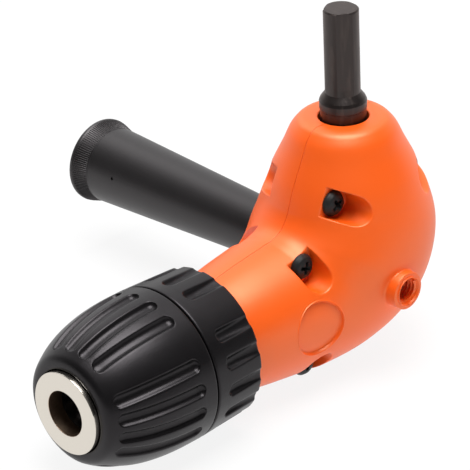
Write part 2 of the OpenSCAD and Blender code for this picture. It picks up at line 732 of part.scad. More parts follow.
module chuck_body() {
  thread_r = spindle_thread_d / 2 + fit_gap;
  color("gray") at_gears() along_x() difference() {
    rotate_extrude() polygon([[0, core_rear_x], [core_r - overrun, core_rear_x],
      [core_r, core_rear_x + overrun], [core_r, shoulder_x], [waist_r, shoulder_x],
      [waist_r, front_core_x], [front_core_r, front_core_x], [front_core_r, core_taper_x],
      [spigot_r + overrun, ring_rear_x - axial_gap], [spigot_r, ring_rear_x - axial_gap],
      [spigot_r, core_front_x], [0, core_front_x]]);
    rod(thread_r, core_rear_x - overrun, spindle_end_x + free_gap);
    rod(chuck_screw_r + screw_clear, spindle_end_x - overrun, web_end_x + overrun);
    rod(bit_r + bit_room, web_end_x, core_front_x + overrun);
    for (k = [0 : 2]) along_jaw(jaw_axis_turn + 120 * k)
      rod(jaw_r + jaw_hole_gap, -chuck_front_x, chuck_r);
  }
}

module chuck_screw() {
  color("dimgray") at_gears() along_x() difference() {
    union() {
      rod(chuck_screw_r, spindle_end_x - chuck_screw_reach, web_end_x);
      rod(chuck_screw_head_r, web_end_x, web_end_x + chuck_screw_head_h);
    }
    translate([-chuck_screw_head_r - overrun, -chuck_screw_slot / 2, web_end_x + chuck_screw_head_h / 2])
      cube([2 * chuck_screw_head_r + 2 * overrun, chuck_screw_slot, chuck_screw_head_h]);
  }
}

module rear_sleeve() {
  rear_r = chuck_rear_d / 2;
  seam_rear_x = chuck_seam_x - seam_gap / 2;
  tilt = atan((chuck_r - rear_r) / (seam_rear_x - chuck_rear_x));
  mouth_r = core_r + free_gap + edge_round;
  step_x = core_rear_x + 2 * overrun;
  color("#2b2a2c") at_gears() along_x() difference() {
    rotate_extrude() polygon([[mouth_r, chuck_rear_x], [rear_r - edge_round, chuck_rear_x],
      [rear_r, chuck_rear_x + edge_round], [chuck_r - fit_gap, seam_rear_x - edge_round],
      [chuck_r - edge_round, seam_rear_x], [core_r + fit_gap, seam_rear_x],
      [core_r + fit_gap, step_x], [mouth_r, step_x]]);
    for (g = [0 : groove_groups - 1]) for (k = [0 : groove_count - 1])
      rotate([0, 0, 180 - groove_turn - g * 360 / groove_groups - k * groove_pitch])
        translate([chuck_r + groove_lift, 0, groove_front_x]) rotate([0, -tilt, 0]) {
          sphere(d = groove_w);
          mirror([0, 0, 1]) cylinder(d = groove_w, h = groove_front_x - chuck_rear_x + 2 * overrun);
        }
  }
}

// Radius of the front sleeve's rounded outside
function bulge_r(x) = chuck_r
  * pow(1 - pow(max(0, x - bulge_start_x) / bulge_len, bulge_power), 1 / bulge_power);
module front_sleeve() {
  seam_front_x = chuck_seam_x + seam_gap / 2;
  hole_r = ring_r + sleeve_ring_gap;
  step_x = ring_rear_x - overrun;
  flute_tilt = atan((flute_rear_r - flute_front_r) / (flute_front_x - flute_rear_x));
  color("#2b2a2c") at_gears() along_x() difference() {
    rotate_extrude() polygon(concat(
      [[sleeve_skirt_r, seam_front_x], [chuck_r - edge_round, seam_front_x],
        [chuck_r, seam_front_x + edge_round]],
      [for (k = [0 : bulge_steps])
        let (x = bulge_start_x + (sleeve_front_x - bulge_start_x) * k / bulge_steps) [bulge_r(x), x]],
      [[hole_r, sleeve_front_x], [hole_r, step_x], [sleeve_inner_front_r, step_x],
        [front_core_r + 2 * overrun, nut_end_x + 2 * overrun], [sleeve_bore_r, nut_end_x + 2 * overrun],
        [sleeve_bore_r, nut_start_x - free_gap], [sleeve_skirt_r, nut_start_x - free_gap]]));
    for (g = [0 : flute_groups - 1]) for (k = [0 : flute_count - 1])
      rotate([0, 0, 180 - flute_turn - g * 360 / flute_groups - k * flute_pitch])
        translate([flute_rear_r, 0, flute_rear_x]) rotate([0, -flute_tilt, 0]) {
          sphere(d = flute_w);
          cylinder(d = flute_w, h = flute_front_x - flute_rear_x + flute_front_reach);
        }
  }
}

module nose_ring() {
  color("silver") at_gears() along_x() rotate_extrude() polygon([
    [bit_r, core_front_x], [spigot_r + fit_gap, core_front_x], [spigot_r + fit_gap, ring_rear_x],
    [ring_r, ring_rear_x], [ring_r, chuck_front_x - ring_chamfer], [ring_r - ring_chamfer, chuck_front_x],
    [bit_r, chuck_front_x]]);
}

// Jaw nut, cut in two so that it goes into the body's waist
function nut_bore_r(x) = jaw_axis_r(x) + jaw_reach + nut_thread_gap;
module nut_ring() {
  rotate_extrude() polygon([[nut_bore_r(nut_start_x), nut_start_x], [nut_r, nut_start_x],
    [nut_r, nut_end_x], [nut_bore_r(nut_end_x), nut_end_x]]);
}
module nut_half(side) {
  along_x() intersection() {
    nut_ring();
    translate([side > 0 ? nut_split_gap / 2 : -nut_split_gap / 2 - 2 * chuck_r, -2 * chuck_r, 0])
      cube([2 * chuck_r, 4 * chuck_r, chuck_front_x]);
  }
}
module nut_half_a() { color("darkgoldenrod") at_gears() nut_half(1); }
module nut_half_b() { color("darkgoldenrod") at_gears() nut_half(-1); }
module nut_collar() {
  color("darkgray") at_gears() along_x()
    tube(nut_collar_r - fit_gap, nut_r + fit_gap, nut_start_x, nut_end_x + free_gap);
}
module thrust_washer() {
  color("silver") at_gears() along_x()
    tube(core_r - fit_gap, thrust_ring_r - thrust_ball_r - thrust_ring_w / 2, shoulder_x + axial_gap / 2,
      shoulder_x + thrust_washer_t);
}
module thrust_balls() {
  color("gold") at_gears() along_x()
    translate([0, 0, shoulder_x + thrust_washer_t + axial_gap + thrust_ball_r]) {
      for (k = [0 : thrust_ball_count - 1]) rotate([0, 0, 360 * k / thrust_ball_count])
        translate([thrust_ring_r, 0, 0]) sphere(r = thrust_ball_r);
      tube(thrust_ring_r + thrust_ring_w / 2, thrust_ring_r - thrust_ring_w / 2,
        -thrust_ring_h / 2, thrust_ring_h / 2);
    }
}

// Jaw in its open place, shown along +X with its gripping edge towards the axis
module jaw(turn) {
  tip_x = jaw_tip_x - jaw_travel_x;
  rear_x = tip_x - jaw_len;
  color("dimgray") at_gears() along_x() difference() {
    intersection() {
      along_jaw(turn) rod(jaw_r, -3 * jaw_len, 0);
      rod(core_r - axial_gap, rear_x, tip_x);
      rotate([0, 0, turn]) translate([0, 0, rear_x - overrun])
        linear_extrude(height = jaw_len + 2 * overrun)
          polygon([[jaw_open_r, -jaw_open_r * jaw_edge_gap], [jaw_open_r, jaw_open_r * jaw_edge_gap],
            [2 * chuck_r, 2 * chuck_r], [2 * chuck_r, -2 * chuck_r]]);
    }
    for (k = [0 : jaw_tooth_count - 1]) let (x = rear_x + (k + 1) * jaw_tooth_pitch)
      tube(2 * core_r, jaw_axis_r(x) + jaw_reach - jaw_tooth_depth, x, x + jaw_tooth_w);
  }
}
module jaw_1() { jaw(jaw_axis_turn); }
module jaw_2() { jaw(jaw_axis_turn + 120); }
module jaw_3() { jaw(jaw_axis_turn + 240); }

// Side handle, on +Z of the handle's own axis, which points along -Y
module handle_washer() {
  color("dimgray") at_gears() at_handle()
    tube(handle_washer_r, handle_r + run_gap, boss_y + washer_play, boss_y + washer_play + handle_washer_t);
}
module handle_stud() {
  color("silver") at_gears() at_handle() {
    rod(handle_r, stud_inner, grip_start + stud_in_grip);
    translate([0, 0, grip_start + stud_in_grip / 2])
      cylinder(r = stud_insert_r, h = stud_in_grip / 4, $fn = stud_insert_flats);
  }
}
module handle_grip() {
  core_end = grip_start + stud_in_grip + grip_wall;
  flange_start = grip_end - flange_w;
  bore_r = grip_end_d / 2 - grip_wall;
  witness_z = grip_start + grip_len * witness_share;
  flare = atan((flange_d - grip_end_d) / 2 / (flange_w - flange_rim));
  color("#2b2a2c") at_gears() at_handle() difference() {
    rotate_extrude() polygon([[0, grip_start], [grip_throat_r - grip_shoulder, grip_start],
      [grip_throat_r, grip_start + grip_shoulder], [grip_d / 2, grip_start + 2 * grip_shoulder],
      [grip_end_d / 2, flange_start], [flange_d / 2, grip_end - flange_rim],
      [flange_d / 2 - flange_rim / 3, grip_end - flange_rim / 3], [flange_d / 2 - flange_rim, grip_end],
      [0, grip_end]]);
    rod(handle_r + fit_gap, grip_start - overrun, grip_start + stud_in_grip + fit_gap);
    translate([0, 0, grip_start + stud_in_grip / 2 - fit_gap])
      cylinder(r = stud_insert_r + fit_gap, h = stud_in_grip / 4 + 2 * fit_gap, $fn = stud_insert_flats);
    translate([0, 0, core_end])
      cylinder(r1 = grip_throat_r - grip_wall, r2 = bore_r, h = flange_start - core_end);
    rod(bore_r, flange_start - fit_gap, grip_end + overrun);
    for (k = [0 : knurl_count - 1]) rotate([0, 0, 360 * k / knurl_count])
      translate([grip_end_d / 2 - knurl_depth, -knurl_w / 2, flange_start]) rotate([0, flare, 0])
        translate([0, 0, knurl_land]) cube([flange_d, knurl_w, flange_w - knurl_land - 2 * flange_rim]);
    rotate([0, 0, witness_turn]) translate([grip_end_d / 2 - witness_depth, 0, witness_z])
      rotate([0, 90, 0]) cylinder(r = witness_r, h = grip_end_d);
  }
}
module handle_plug() {
  bore_r = grip_end_d / 2 - grip_wall;
  cap_start = grip_end - plug_recess - plug_t;
  color("#3a3a3c") at_gears() at_handle() {
    rod(bore_r - fit_gap, cap_start, grip_end - plug_recess);
    tube(bore_r - fit_gap, bore_r - grip_wall / 2, grip_end - flange_w + free_gap, cap_start);
  }
}

housing_near();
housing_far();
housing_screws();
input_shaft();
input_gear();
input_gear_pin();
input_washer();
input_circlip();
input_bush();
input_bearing_outer();
input_bearing_inner();
input_bearing_balls();
output_spindle();
output_gear();
output_gear_pin();
output_washer();
output_circlip();
output_bush();
output_bearing_outer();
output_bearing_inner();
output_bearing_balls();
chuck_body();
chuck_screw();
rear_sleeve();
front_sleeve();
nose_ring();
nut_half_a();
nut_half_b();
nut_collar();
thrust_washer();
thrust_balls();
jaw_1();
jaw_2();
jaw_3();
handle_washer();
handle_stud();
handle_grip();
handle_plug();
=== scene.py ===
import json
import math

import bmesh
import bpy
import numpy
from bpy.props import FloatProperty, FloatVectorProperty, IntProperty, PointerProperty
from mathutils import Matrix, Vector, geometry


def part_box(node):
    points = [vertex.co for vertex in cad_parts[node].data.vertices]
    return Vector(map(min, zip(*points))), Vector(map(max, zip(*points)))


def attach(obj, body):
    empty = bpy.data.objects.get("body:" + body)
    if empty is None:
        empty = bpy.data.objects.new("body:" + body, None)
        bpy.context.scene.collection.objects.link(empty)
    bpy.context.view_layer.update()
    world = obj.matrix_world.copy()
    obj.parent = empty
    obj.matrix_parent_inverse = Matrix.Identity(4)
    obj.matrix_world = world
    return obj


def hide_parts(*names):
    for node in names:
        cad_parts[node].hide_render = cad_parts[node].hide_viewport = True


bl_info = {
    "name": "Right angle drill attachment",
    "version": (1, 0, 0),
    "blender": (4, 5, 0),
    "location": "View3D > Sidebar > Drill attachment",
    "description": "Dresses the packed drill attachment: body, chuck, shank, handle and studio",
    "category": "Object",
}

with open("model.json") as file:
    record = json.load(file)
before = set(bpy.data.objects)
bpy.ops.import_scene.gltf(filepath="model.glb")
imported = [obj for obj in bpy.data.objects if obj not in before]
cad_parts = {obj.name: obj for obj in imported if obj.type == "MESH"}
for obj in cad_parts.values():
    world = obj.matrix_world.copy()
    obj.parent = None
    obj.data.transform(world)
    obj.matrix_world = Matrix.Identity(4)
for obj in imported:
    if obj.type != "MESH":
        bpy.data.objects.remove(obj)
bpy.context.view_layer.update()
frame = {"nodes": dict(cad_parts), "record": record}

# Millimetres are the working unit, measured from the crossing of the gear axes.
MM = 0.001
GEAR_DROP = 42.3

# Sections of the body: place on its stretch of the run, then depth, width and outward shift as
# shares of the half width. The bell and the nose are round and have one share.
BELL = ((0, 0.415), (0.024, 0.478), (0.083, 0.531), (0.172, 0.585), (0.379, 0.662),
        (0.533, 0.725), (0.716, 0.797), (0.864, 0.845), (1, 0.884))
ELBOW = ((0, 0.884, 0.884, 0), (0.133, 0.966, 0.957, 0.085), (0.267, 0.995, 0.995, 0.122),
         (0.4, 0.986, 0.995, 0.126), (0.533, 0.957, 0.942, 0.11), (0.667, 0.908, 0.87, 0.074),
         (0.833, 0.835, 0.812, 0.021), (1, 0.778, 0.778, 0))
NOSE = ((0, 0.778), (0.255, 0.749), (0.459, 0.725), (0.663, 0.696), (0.816, 0.671),
        (0.944, 0.647), (1, 0.609))

# Points of the outside: stretches of the run with their counts, turns near the split plane, and the
# count of turns between them.
RUN_STRETCHES = ((0, 0.1, 12), (0.1, 1, 30), (1, 2, 92), (2, 3, 30))
RIM_TURNS = (0, 0.1, 0.2, 0.32, 0.46, 0.8, 1.6)
TURN_COUNT = 117

# Screw seats in the split plane, the direction in which each pocket runs out, and the floor's height.
SCREW_SEATS = ((-12.3, 23.8, 156, 7.1), (12.3, 23.8, 24, 7.6),
               (22.7, 12.2, 75, 7.6), (22.7, -12.2, -75, 7.1))

# Place of the bosses in the split plane, and the radius and end of the bore in each.
BOSS_PLACE = (4.0, 3.6)
NEAR_BORE, FAR_BORE = (2.98, 13.2), (3.05, 12.9)

# Rings of the badge: distance outside its radius, and sinking as a share of its depth. What lies inside
# the inner rim of its lip is sunk by the full depth.
BADGE_RINGS = ((0.42, 0), (0.3, -0.2), (0.16, -0.2), (0.06, 0.1), (0, 0.5), (-0.05, 0.88), (-0.12, 1))
INNER_RIM = 2
BADGE_RISE = 0.3

# How far the grid on the outside stays away from a hole's outline and from the badge's rim.
HOLE_CLEARANCE, RIM_CLEARANCE = 0.22, 0.6

# Rooms for the two drives in the halves: radius, start and end along the axis.
INPUT_ROOMS = ((12.2, 3, 18.4), (6.52, 18.4, 24.42), (7.3, 24.42, 27.2), (9.52, 27.2, 33.22),
               (5.71, 33.22, 38.15), (5.76, 38.22, 38.25), (5.98, 38.42, 38.5), (5.98, 38.5, 39.5))
OUTPUT_ROOMS = ((12.2, 3, 18.4), (7.02, 18.4, 24.42), (7.8, 24.42, 36), (10.02, 36, 42.02),
                (7.0, 42.02, 45.5))

# Half of a flute's cross-section: place as a share of the half width, and depth as a share.
FLUTE_SECTION = ((0, 1), (0.22, 0.985), (0.42, 0.93), (0.6, 0.82), (0.74, 0.67), (0.85, 0.48),
                 (0.93, 0.31), (1, 0.17), (1.07, 0.08), (1.15, 0.025), (1.25, 0), (1.45, 0))

# Half of the seam between the sleeves, and the power of the front sleeve's bulge.
SEAM_HALF_GAP = 0.175
BULGE_POWER = 2.25

# Inside of the front sleeve behind its front face: radius and place.
SLEEVE_INSIDE = ((11.9, 79.94), (13.0, 71.6), (14.6, 71.6), (14.6, 64.5), (15.5, 64.5))

# Directions of the flutes and grooves in one group, how far each sleeve is turned at rest, and the
# places between which the rear sleeve's rows are finer, as its grooves end there.
FLUTES, GROOVES = (-27, -9, 9, 27), (-41.6, -20.8, 0, 20.8, 41.6)
FRONT_TURN, REAR_TURN = -1.5, -5.3
GROOVE_END_BAND = (53.0, 56.4)

# The shank inside the body, with the groove of its circlip: radius, height and rounding.
JOURNAL = ((0, 7.9, 0), (4, 7.9, 0.2), (4, 26.2, 0), (3.6, 26.2, 0), (3.6, 27.1, 0), (4, 27.1, 0),
           (4, 33.3, 0))

# Directions of the shank's flats in degrees, and the height above which the shank may be cut flat.
FLATS = (55, 175, 295)
FLAT_HEIGHT = 44.6

# A ridge of the knurl: place across as a share of its half width, and drop.
RIDGE_SECTION = ((-1, 0.34), (-0.45, 0.04), (0, 0), (0.45, 0.04), (1, 0.34))

# Outline of a screw from its tip to the middle of its head: radius, height and rounding. The seat is at 0.
SCREW_OUTLINE = ((0, -14.6, 0), (1.2, -14.6, 0.2), (1.5, -14.0, 0.1), (1.5, 0, 0), (2.95, 0, 0.15),
                 (3.0, 0.7, 0.5), (2.35, 1.6, 0.9), (1.2, 2.0, 0.8), (0, 2.02, 0))

# One wing of the cross recess at its foot and its mouth: height, half length and half thickness.
DRIVER_WING = ((0.6, 0.5, 0.28), (2.4, 2.0, 0.5))

# Thread of the free boss: mean radius, pitch, turns and inner end from the split plane.
THREAD_RADIUS, THREAD_PITCH, THREAD_TURNS, THREAD_START = 2.9, 1.0, 8.6, 13.5

# The camera that the photo was solved for: its place in metres and its right, down and forward axes.
CAMERA_PLACE = (0.4736, 0.4589, 0.3132)
CAMERA_RIGHT = (-0.70844, 0.70477, -0.0375)
CAMERA_DOWN = (0.35166, 0.30642, -0.88455)
CAMERA_AHEAD = (-0.61192, -0.63984, -0.46493)


def length(name, description, default):
    """A length in metres for a property group."""
    return FloatProperty(name=name, description=description, default=default, unit="LENGTH", precision=5)


def pieces(name, description, default):
    """A number of pieces for a property group."""
    return IntProperty(name=name, description=description, default=default, min=1)


def tint(name, description, default):
    """A linear colour for a property group."""
    return FloatVectorProperty(name=name, description=description, default=default,
                               subtype="COLOR", size=3, min=0, max=1)


class ShellSizes(bpy.types.PropertyGroup):
    """Sizes of the two moulded halves."""

    half_width: length("Half width", "Largest half width of the body, at the gears", 0.02066)
    head_height: length("Head height", "Top face of the bell above the gear axes", 0.0384)
    nose_reach: length("Nose reach", "Front of the body from the shank's axis", 0.0446)
    elbow_reach: length("Elbow reach", "Inner corner of the elbow from the shank's axis", 0.025)
    elbow_height: length("Elbow height", "Inner corner of the elbow above the chuck's axis", 0.0215)
    edge: length("Edge radius", "Rounding of the moulded edges", 0.00034)
    parting: length("Parting edge", "Rounding where the two halves meet", 0.0002)
    parting_gap: length("Parting gap", "Half of the dark gap between the halves", 0.00005)
    pocket_width: length("Pocket width", "Width of a screw pocket", 0.0067)
    pocket_back: length("Pocket back", "Centre of a pocket's round end behind its screw", 0.0011)
    boss_radius: length("Boss radius", "Outside of the threaded bosses", 0.0044)
    boss_reach: length("Boss reach", "Boss faces from the split plane", 0.0229)
    badge_diameter: length("Badge", "Diameter of the round badge recess", 0.0124)
    badge_depth: length("Badge depth", "Depth of the badge recess", 0.0006)
    badge_reach: length("Badge reach", "Badge centre from the shank's axis", 0.0251)


class ChuckSizes(bpy.types.PropertyGroup):
    """Sizes of the chuck's two sleeves and nose ring."""

    radius: length("Sleeve radius", "Outside of the gripping sleeves", 0.018)
    rear_radius: length("Rear radius", "Outside of the rear sleeve at its free edge", 0.0174)
    front: length("Front", "Front face of the nose ring from the shank's axis", 0.0865)
    ring_proud: length("Ring rise", "Nose ring in front of the sleeve", 0.0012)
    ring_plate: length("Ring plate", "Thickness of the nose ring's plate", 0.0039)
    ring_rear: length("Ring rear", "Rear of the nose ring from the shank's axis", 0.08)
    seam: length("Seam", "Seam between the sleeves from the shank's axis", 0.0585)
    rear: length("Rear", "Free edge of the rear sleeve from the shank's axis", 0.0449)
    flute_width: length("Flute width", "Width of a flute", 0.003)
    flute_depth: length("Flute depth", "Depth of a flute", 0.00105)
    flute_start: length("Flute start", "Rear ends of the flutes from the seam", 0.0036)
    flute_end: length("Flute end", "Front ends of the flutes from the seam", 0.0247)
    groove_width: length("Groove width", "Width of a groove in the rear sleeve", 0.0029)
    groove_depth: length("Groove depth", "Depth of a groove in the rear sleeve", 0.00115)
    groove_stop: length("Groove stop", "Front ends of the grooves behind the seam", 0.0032)
    flute_groups: pieces("Flute groups", "Groups of flutes round the sleeve", 4)
    groove_groups: pieces("Groove groups", "Groups of grooves round the sleeve", 3)
    ring_radius: length("Ring radius", "Outside of the bright nose ring", 0.00945)
    lip_radius: length("Lip radius", "Outside of the sleeve's front face", 0.0118)
    bit_radius: length("Bit hole", "Radius of the hole for the bit", 0.0052)


class HandleSizes(bpy.types.PropertyGroup):
    """Sizes of the side handle."""

    start: length("Start", "Grip's inner end from the split plane", 0.0242)
    grip: length("Grip length", "Length of the grip", 0.0538)
    inner_radius: length("Inner radius", "Grip's radius at the body", 0.007)
    skirt: length("Skirt", "Thin skirt of the grip round its washer", 0.0028)
    dot_radius: length("Dot", "Radius of the small sunk dot on the grip", 0.0004)
    dot_place: length("Dot place", "Sunk dot from the split plane", 0.0645)
    outer_radius: length("Outer radius", "Grip's radius at its far end", 0.0091)
    flange_radius: length("Flange radius", "Largest radius of the flared, knurled flange", 0.0102)
    flange_width: length("Flange width", "Width of the knurled flange", 0.0051)
    flange_rim: length("Flange rim", "Rounding of the flange's end", 0.001)
    knurl_count: pieces("Knurl", "Ridges round the flange", 120)


class ShankSizes(bpy.types.PropertyGroup):
    """Sizes of the input shank and collar."""

    radius: length("Shank radius", "Radius of the round shank", 0.004)
    tip: length("Tip", "Tip of the shank above the gear axes", 0.0642)
    flat_depth: length("Flat depth", "Depth of each flat", 0.00046)
    collar_radius: length("Collar radius", "Radius of the collar", 0.00535)


class Finishes(bpy.types.PropertyGroup):
    """Base colours of the finishes, linear."""

    shell: tint("Shell", "Moulded orange plastic", (0.9, 0.104, 0.0022))
    sleeve: tint("Sleeves", "Black plastic of the chuck", (0.0044, 0.004, 0.0044))
    grip: tint("Handle", "Black plastic of the handle", (0.0052, 0.0045, 0.0048))
    oxide: tint("Oxide", "Blackened steel of the shank", (0.014, 0.0104, 0.0098))
    screw: tint("Screws", "Black screws", (0.012, 0.012, 0.012))
    bright: tint("Bright steel", "Polished nose ring", (0.73, 0.68, 0.605))


class StudioSettings(bpy.types.PropertyGroup):
    """Camera and light."""

    lens: FloatProperty(name="Lens", description="Focal length in millimetres", default=252.77)
    sky: FloatProperty(name="Surround", description="Strength of the surround's dim side", default=0.065)


class Wire:
    """One output of a node tree, on which arithmetic adds maths nodes, from either side."""

    def __init__(self, bench, socket):
        self.bench = bench
        self.socket = socket

    def maths(self, operation, *values):
        """A maths node on these values."""
        return self.bench.node("ShaderNodeMath", {"operation": operation}, dict(enumerate(values)))

    def __add__(self, other):
        return self.maths("ADD", self, other)

    def __sub__(self, other):
        return self.maths("SUBTRACT", self, other)

    def __rsub__(self, other):
        return self.maths("SUBTRACT", other, self)

    def __mul__(self, other):
        return self.maths("MULTIPLY", self, other)

    def __truediv__(self, other):
        return self.maths("DIVIDE", self, other)

    def __rtruediv__(self, other):
        return self.maths("DIVIDE", other, self)

    def __pow__(self, other):
        return self.maths("POWER", self, other)

    def __rpow__(self, other):
        return self.maths("POWER", other, self)

    __radd__ = __add__
    __rmul__ = __mul__

    def clamped(self):
        """The value held between 0 and 1."""
        return self.maths("MINIMUM", self.maths("MAXIMUM", self, 0), 1)


class Bench:
    """Adds nodes to one tree."""

    def __init__(self, tree):
        self.tree = tree

    def node(self, kind, settings=None, values=None, out=0):
        """A node: first its settings, then the values or links of its inputs; gives one output."""
        made = self.tree.nodes.new(kind)
        for name, value in (settings or {}).items():
            setattr(made, name, value)
        for name, value in (values or {}).items():
            if isinstance(value, Wire):
                self.tree.links.new(value.socket, made.inputs[name])
            else:
                made.inputs[name].default_value = value
        return Wire(self, made.outputs[out]) if made.outputs else None

    def blended(self, factor, first, second):
        """A colour between two, by a factor."""
        values = {0: factor}
        for place, colour in ((6, first), (7, second)):
            values[place] = colour if isinstance(colour, Wire) else (*colour, 1)
        return self.node("ShaderNodeMix", {"data_type": "RGBA"}, values, out=2)

    def noise(self, place, scale, detail):
        """Noise at a place."""
        return self.node("ShaderNodeTexNoise", None, {"Vector": place, "Scale": scale, "Detail": detail})

    def part(self, vector, axis):
        """One part of a vector, 0 to 2."""
        return self.node("ShaderNodeSeparateXYZ", None, {"Vector": vector}, out=axis)


def cleared(owner):
    """The bench of a material's or world's emptied node tree."""
    owner.use_nodes = True
    owner.node_tree.nodes.clear()
    return Bench(owner.node_tree)


def finish(name, colour, roughness, metallic=0.0, grain=3200.0, bump=0.00001, swing=0.05, coat=0.0,
           mottle=0.06, lines=None, specular=0.5, edge_tint=(1, 1, 1), extra=None):
    """A procedural finish: colour drift, uneven gloss and a fine grain, all in object space.

    Grain is a noise scale, bump a height in metres, swing the spread of the gloss, mottle that of the
    colour, and lines an axis, a scale and an amount.
    """
    material = bpy.data.materials.new(name)
    bench = cleared(material)
    place = bench.node("ShaderNodeTexCoord", out=3)
    drift = bench.noise(place, 60.0, 3.0)
    fine = bench.noise(place, grain, 2.0)
    patch = bench.noise(place, 420.0, 4.0)
    shade = (drift - 0.5) * (2 * mottle) + (patch - 0.5) * mottle
    darker = tuple(c * (1 - 2 * mottle) for c in colour)
    paler = tuple(min(1, c * (1 + 2 * mottle) + 0.004 * mottle) for c in colour)
    base = bench.blended((shade * 4 + 0.5).clamped(), darker, paler)
    gloss = (patch - 0.5) * swing + (drift - 0.5) * swing + roughness
    relief = fine
    if lines:
        axis, pitch, amount = lines
        wave = bench.node("ShaderNodeTexNoise", {"noise_dimensions": "1D"},
                          {"W": bench.part(place, axis) * pitch, "Scale": 1.0, "Detail": 2.0})
        relief = fine * (1 - amount) + wave * amount
        gloss = gloss + (wave - 0.5) * (0.25 * amount)
    normal = bench.node("ShaderNodeBump", None, {"Strength": 1.0, "Distance": bump, "Height": relief})
    if extra:
        base, gloss = extra(bench, place, base, gloss)
    shader = bench.node("ShaderNodeBsdfPrincipled", None, {
        "Base Color": base, "Roughness": gloss.clamped(), "Metallic": metallic, "Normal": normal,
        "Coat Weight": coat, "Coat Roughness": 0.15, "Specular IOR Level": specular,
        "Specular Tint": (*edge_tint, 1)})
    bench.node("ShaderNodeOutputMaterial", None, {"Surface": shader})
    return material


def worn_steel(bench, place, base, gloss):
    """Brown, drawn-out rubbed streaks of blackened steel."""
    drawn = bench.node("ShaderNodeMapping", None, {"Vector": place, "Scale": (1, 1, 0.12)})
    worn = ((bench.noise(drawn, 900.0, 6.0) - 0.52) * 6).clamped()
    brown = bench.blended(worn * 0.5, base, (0.06, 0.045, 0.038))
    return brown, gloss + worn * 0.06


def bore_painted_shade(bench, place, base, gloss):
    """Polished steel whose bit hole's bore is painted darker and browner as painted shade, and made
    rougher.
    """
    y = bench.part(place, 1)
    z = bench.part(place, 2) + GEAR_DROP * MM
    radius = (y * y + z * z) ** 0.5
    hole = radius.maths("LESS_THAN", radius, bpy.context.scene.drill_chuck.bit_radius + 0.00008)
    # The bore's darker, browner colour is painted shade for the dim hole; its added roughness is the
    # steel's own.
    return bench.blended(hole, base, (0.4, 0.29, 0.21)), gloss + hole * 0.25


FINISHES = {}


def finishes():
    """The finishes by their record slot, made once."""
    if FINISHES:
        return FINISHES
    look = bpy.context.scene.drill_finishes
    FINISHES.update({
        "body_plastic": finish("shell orange", look.shell, 0.42, grain=2600, bump=0.000006, swing=0.04,
                               mottle=0.015, specular=1.0, edge_tint=(1, 0.9, 0.6)),
        "black_plastic": finish("sleeve black", look.sleeve, 0.35, grain=2400, bump=0.000012, swing=0.08,
                                mottle=0.08, specular=0.34, edge_tint=(1, 0.93, 0.98)),
        "grip_plastic": finish("handle black", look.grip, 0.43, grain=2200, bump=0.000008, swing=0.06,
                               mottle=0.08, specular=0.62, edge_tint=(1, 0.94, 0.96)),
        "black_oxide": finish("blackened steel", look.oxide, 0.36, 0.35, grain=1800, bump=0.000006,
                              swing=0.14, mottle=0.14, lines=(0, 2600.0, 0.7), specular=0.85,
                              edge_tint=(1, 0.87, 0.83), extra=worn_steel),
        "screw_black": finish("screw black", look.screw, 0.48, grain=3000, bump=0.000006, swing=0.1,
                              mottle=0.1, specular=0.3),
        "nose_steel": finish("polished steel", look.bright, 0.17, 1.0, grain=5000, bump=0.0000004,
                             swing=0.03, mottle=0.01, extra=bore_painted_shade),
        "steel": finish("ground steel", (0.56, 0.55, 0.54), 0.24, 1.0, grain=2500, bump=0.000002,
                        mottle=0.03, lines=(0, 14000.0, 0.6)),
        "gear_steel": finish("oiled gear steel", (0.3, 0.3, 0.31), 0.3, 1.0, grain=1500, bump=0.000004,
                             coat=0.4),
        "sintered_bronze": finish("sintered bronze", (0.45, 0.26, 0.12), 0.42, 1.0, grain=4200, mottle=0.1),
        "bearing_cage": finish("pressed brass", (0.62, 0.44, 0.17), 0.3, 1.0, grain=1800, bump=0.000003,
                               mottle=0.04),
    })
    return FINISHES


def in_frame(points):
    """Millimetres from the gear centre, as metres in the frame."""
    lowered = numpy.array(points, dtype=float).reshape(-1, 3)
    lowered[:, 2] -= GEAR_DROP
    return lowered * MM


def solid(name, points, faces, crease=35, local=False):
    """A mesh object from points in millimetres, moved into the frame unless they are local."""
    mesh = bpy.data.meshes.new(name)
    points = numpy.array(points, dtype=float) * MM if local else in_frame(points)
    mesh.from_pydata(points.tolist(), [], [list(map(int, f)) for f in faces])
    tidy(mesh, crease)
    return linked(name, mesh)


def linked(name, data):
    """A new object in the scene."""
    thing = bpy.data.objects.new(name, data)
    bpy.context.scene.collection.objects.link(thing)
    return thing


def tidy(mesh, crease, merge=0.0000008):
    """Merges doubles, turns faces outwards and shades the mesh."""
    shape = bmesh.new()
    shape.from_mesh(mesh)
    bmesh.ops.remove_doubles(shape, verts=shape.verts, dist=merge)
    bmesh.ops.recalc_face_normals(shape, faces=shape.faces)
    shape.to_mesh(mesh)
    shape.free()
    mesh.validate()
    mesh.shade_smooth()
    mesh.set_sharp_from_angle(angle=math.radians(crease))


def baked(thing):
    """Makes the evaluated mesh of an object its own mesh, with no modifiers left."""
    evaluated = thing.evaluated_get(bpy.context.evaluated_depsgraph_get())
    mesh = bpy.data.meshes.new_from_object(evaluated)
    thing.modifiers.clear()
    old = thing.data
    thing.data = mesh
    if old.users == 0:
        bpy.data.meshes.remove(old)


def carve(thing, cutter):
    """Cuts one solid with another and drops the cutter."""
    cut = thing.modifiers.new("cut", "BOOLEAN")
    cut.operation = "DIFFERENCE"
    cut.solver = "EXACT"
    cut.object = cutter
    baked(thing)
    bpy.data.objects.remove(cutter)


def moved(thing, place):
    """Puts an object's points into the frame by a function of points in millimetres."""
    flat = numpy.zeros(len(thing.data.vertices) * 3)
    thing.data.vertices.foreach_get("co", flat)
    thing.data.vertices.foreach_set("co", in_frame(place(flat.reshape(-1, 3) / MM)).ravel())


def dress(thing, body, slot, *nodes):
    """Gives a piece its finish and body, and hides the nodes that it stands for."""
    thing.data.materials.clear()
    thing.data.materials.append(finishes()[slot])
    for polygon in thing.data.polygons:
        polygon.material_index = 0
    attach(thing, body)
    if nodes:
        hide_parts(*nodes)


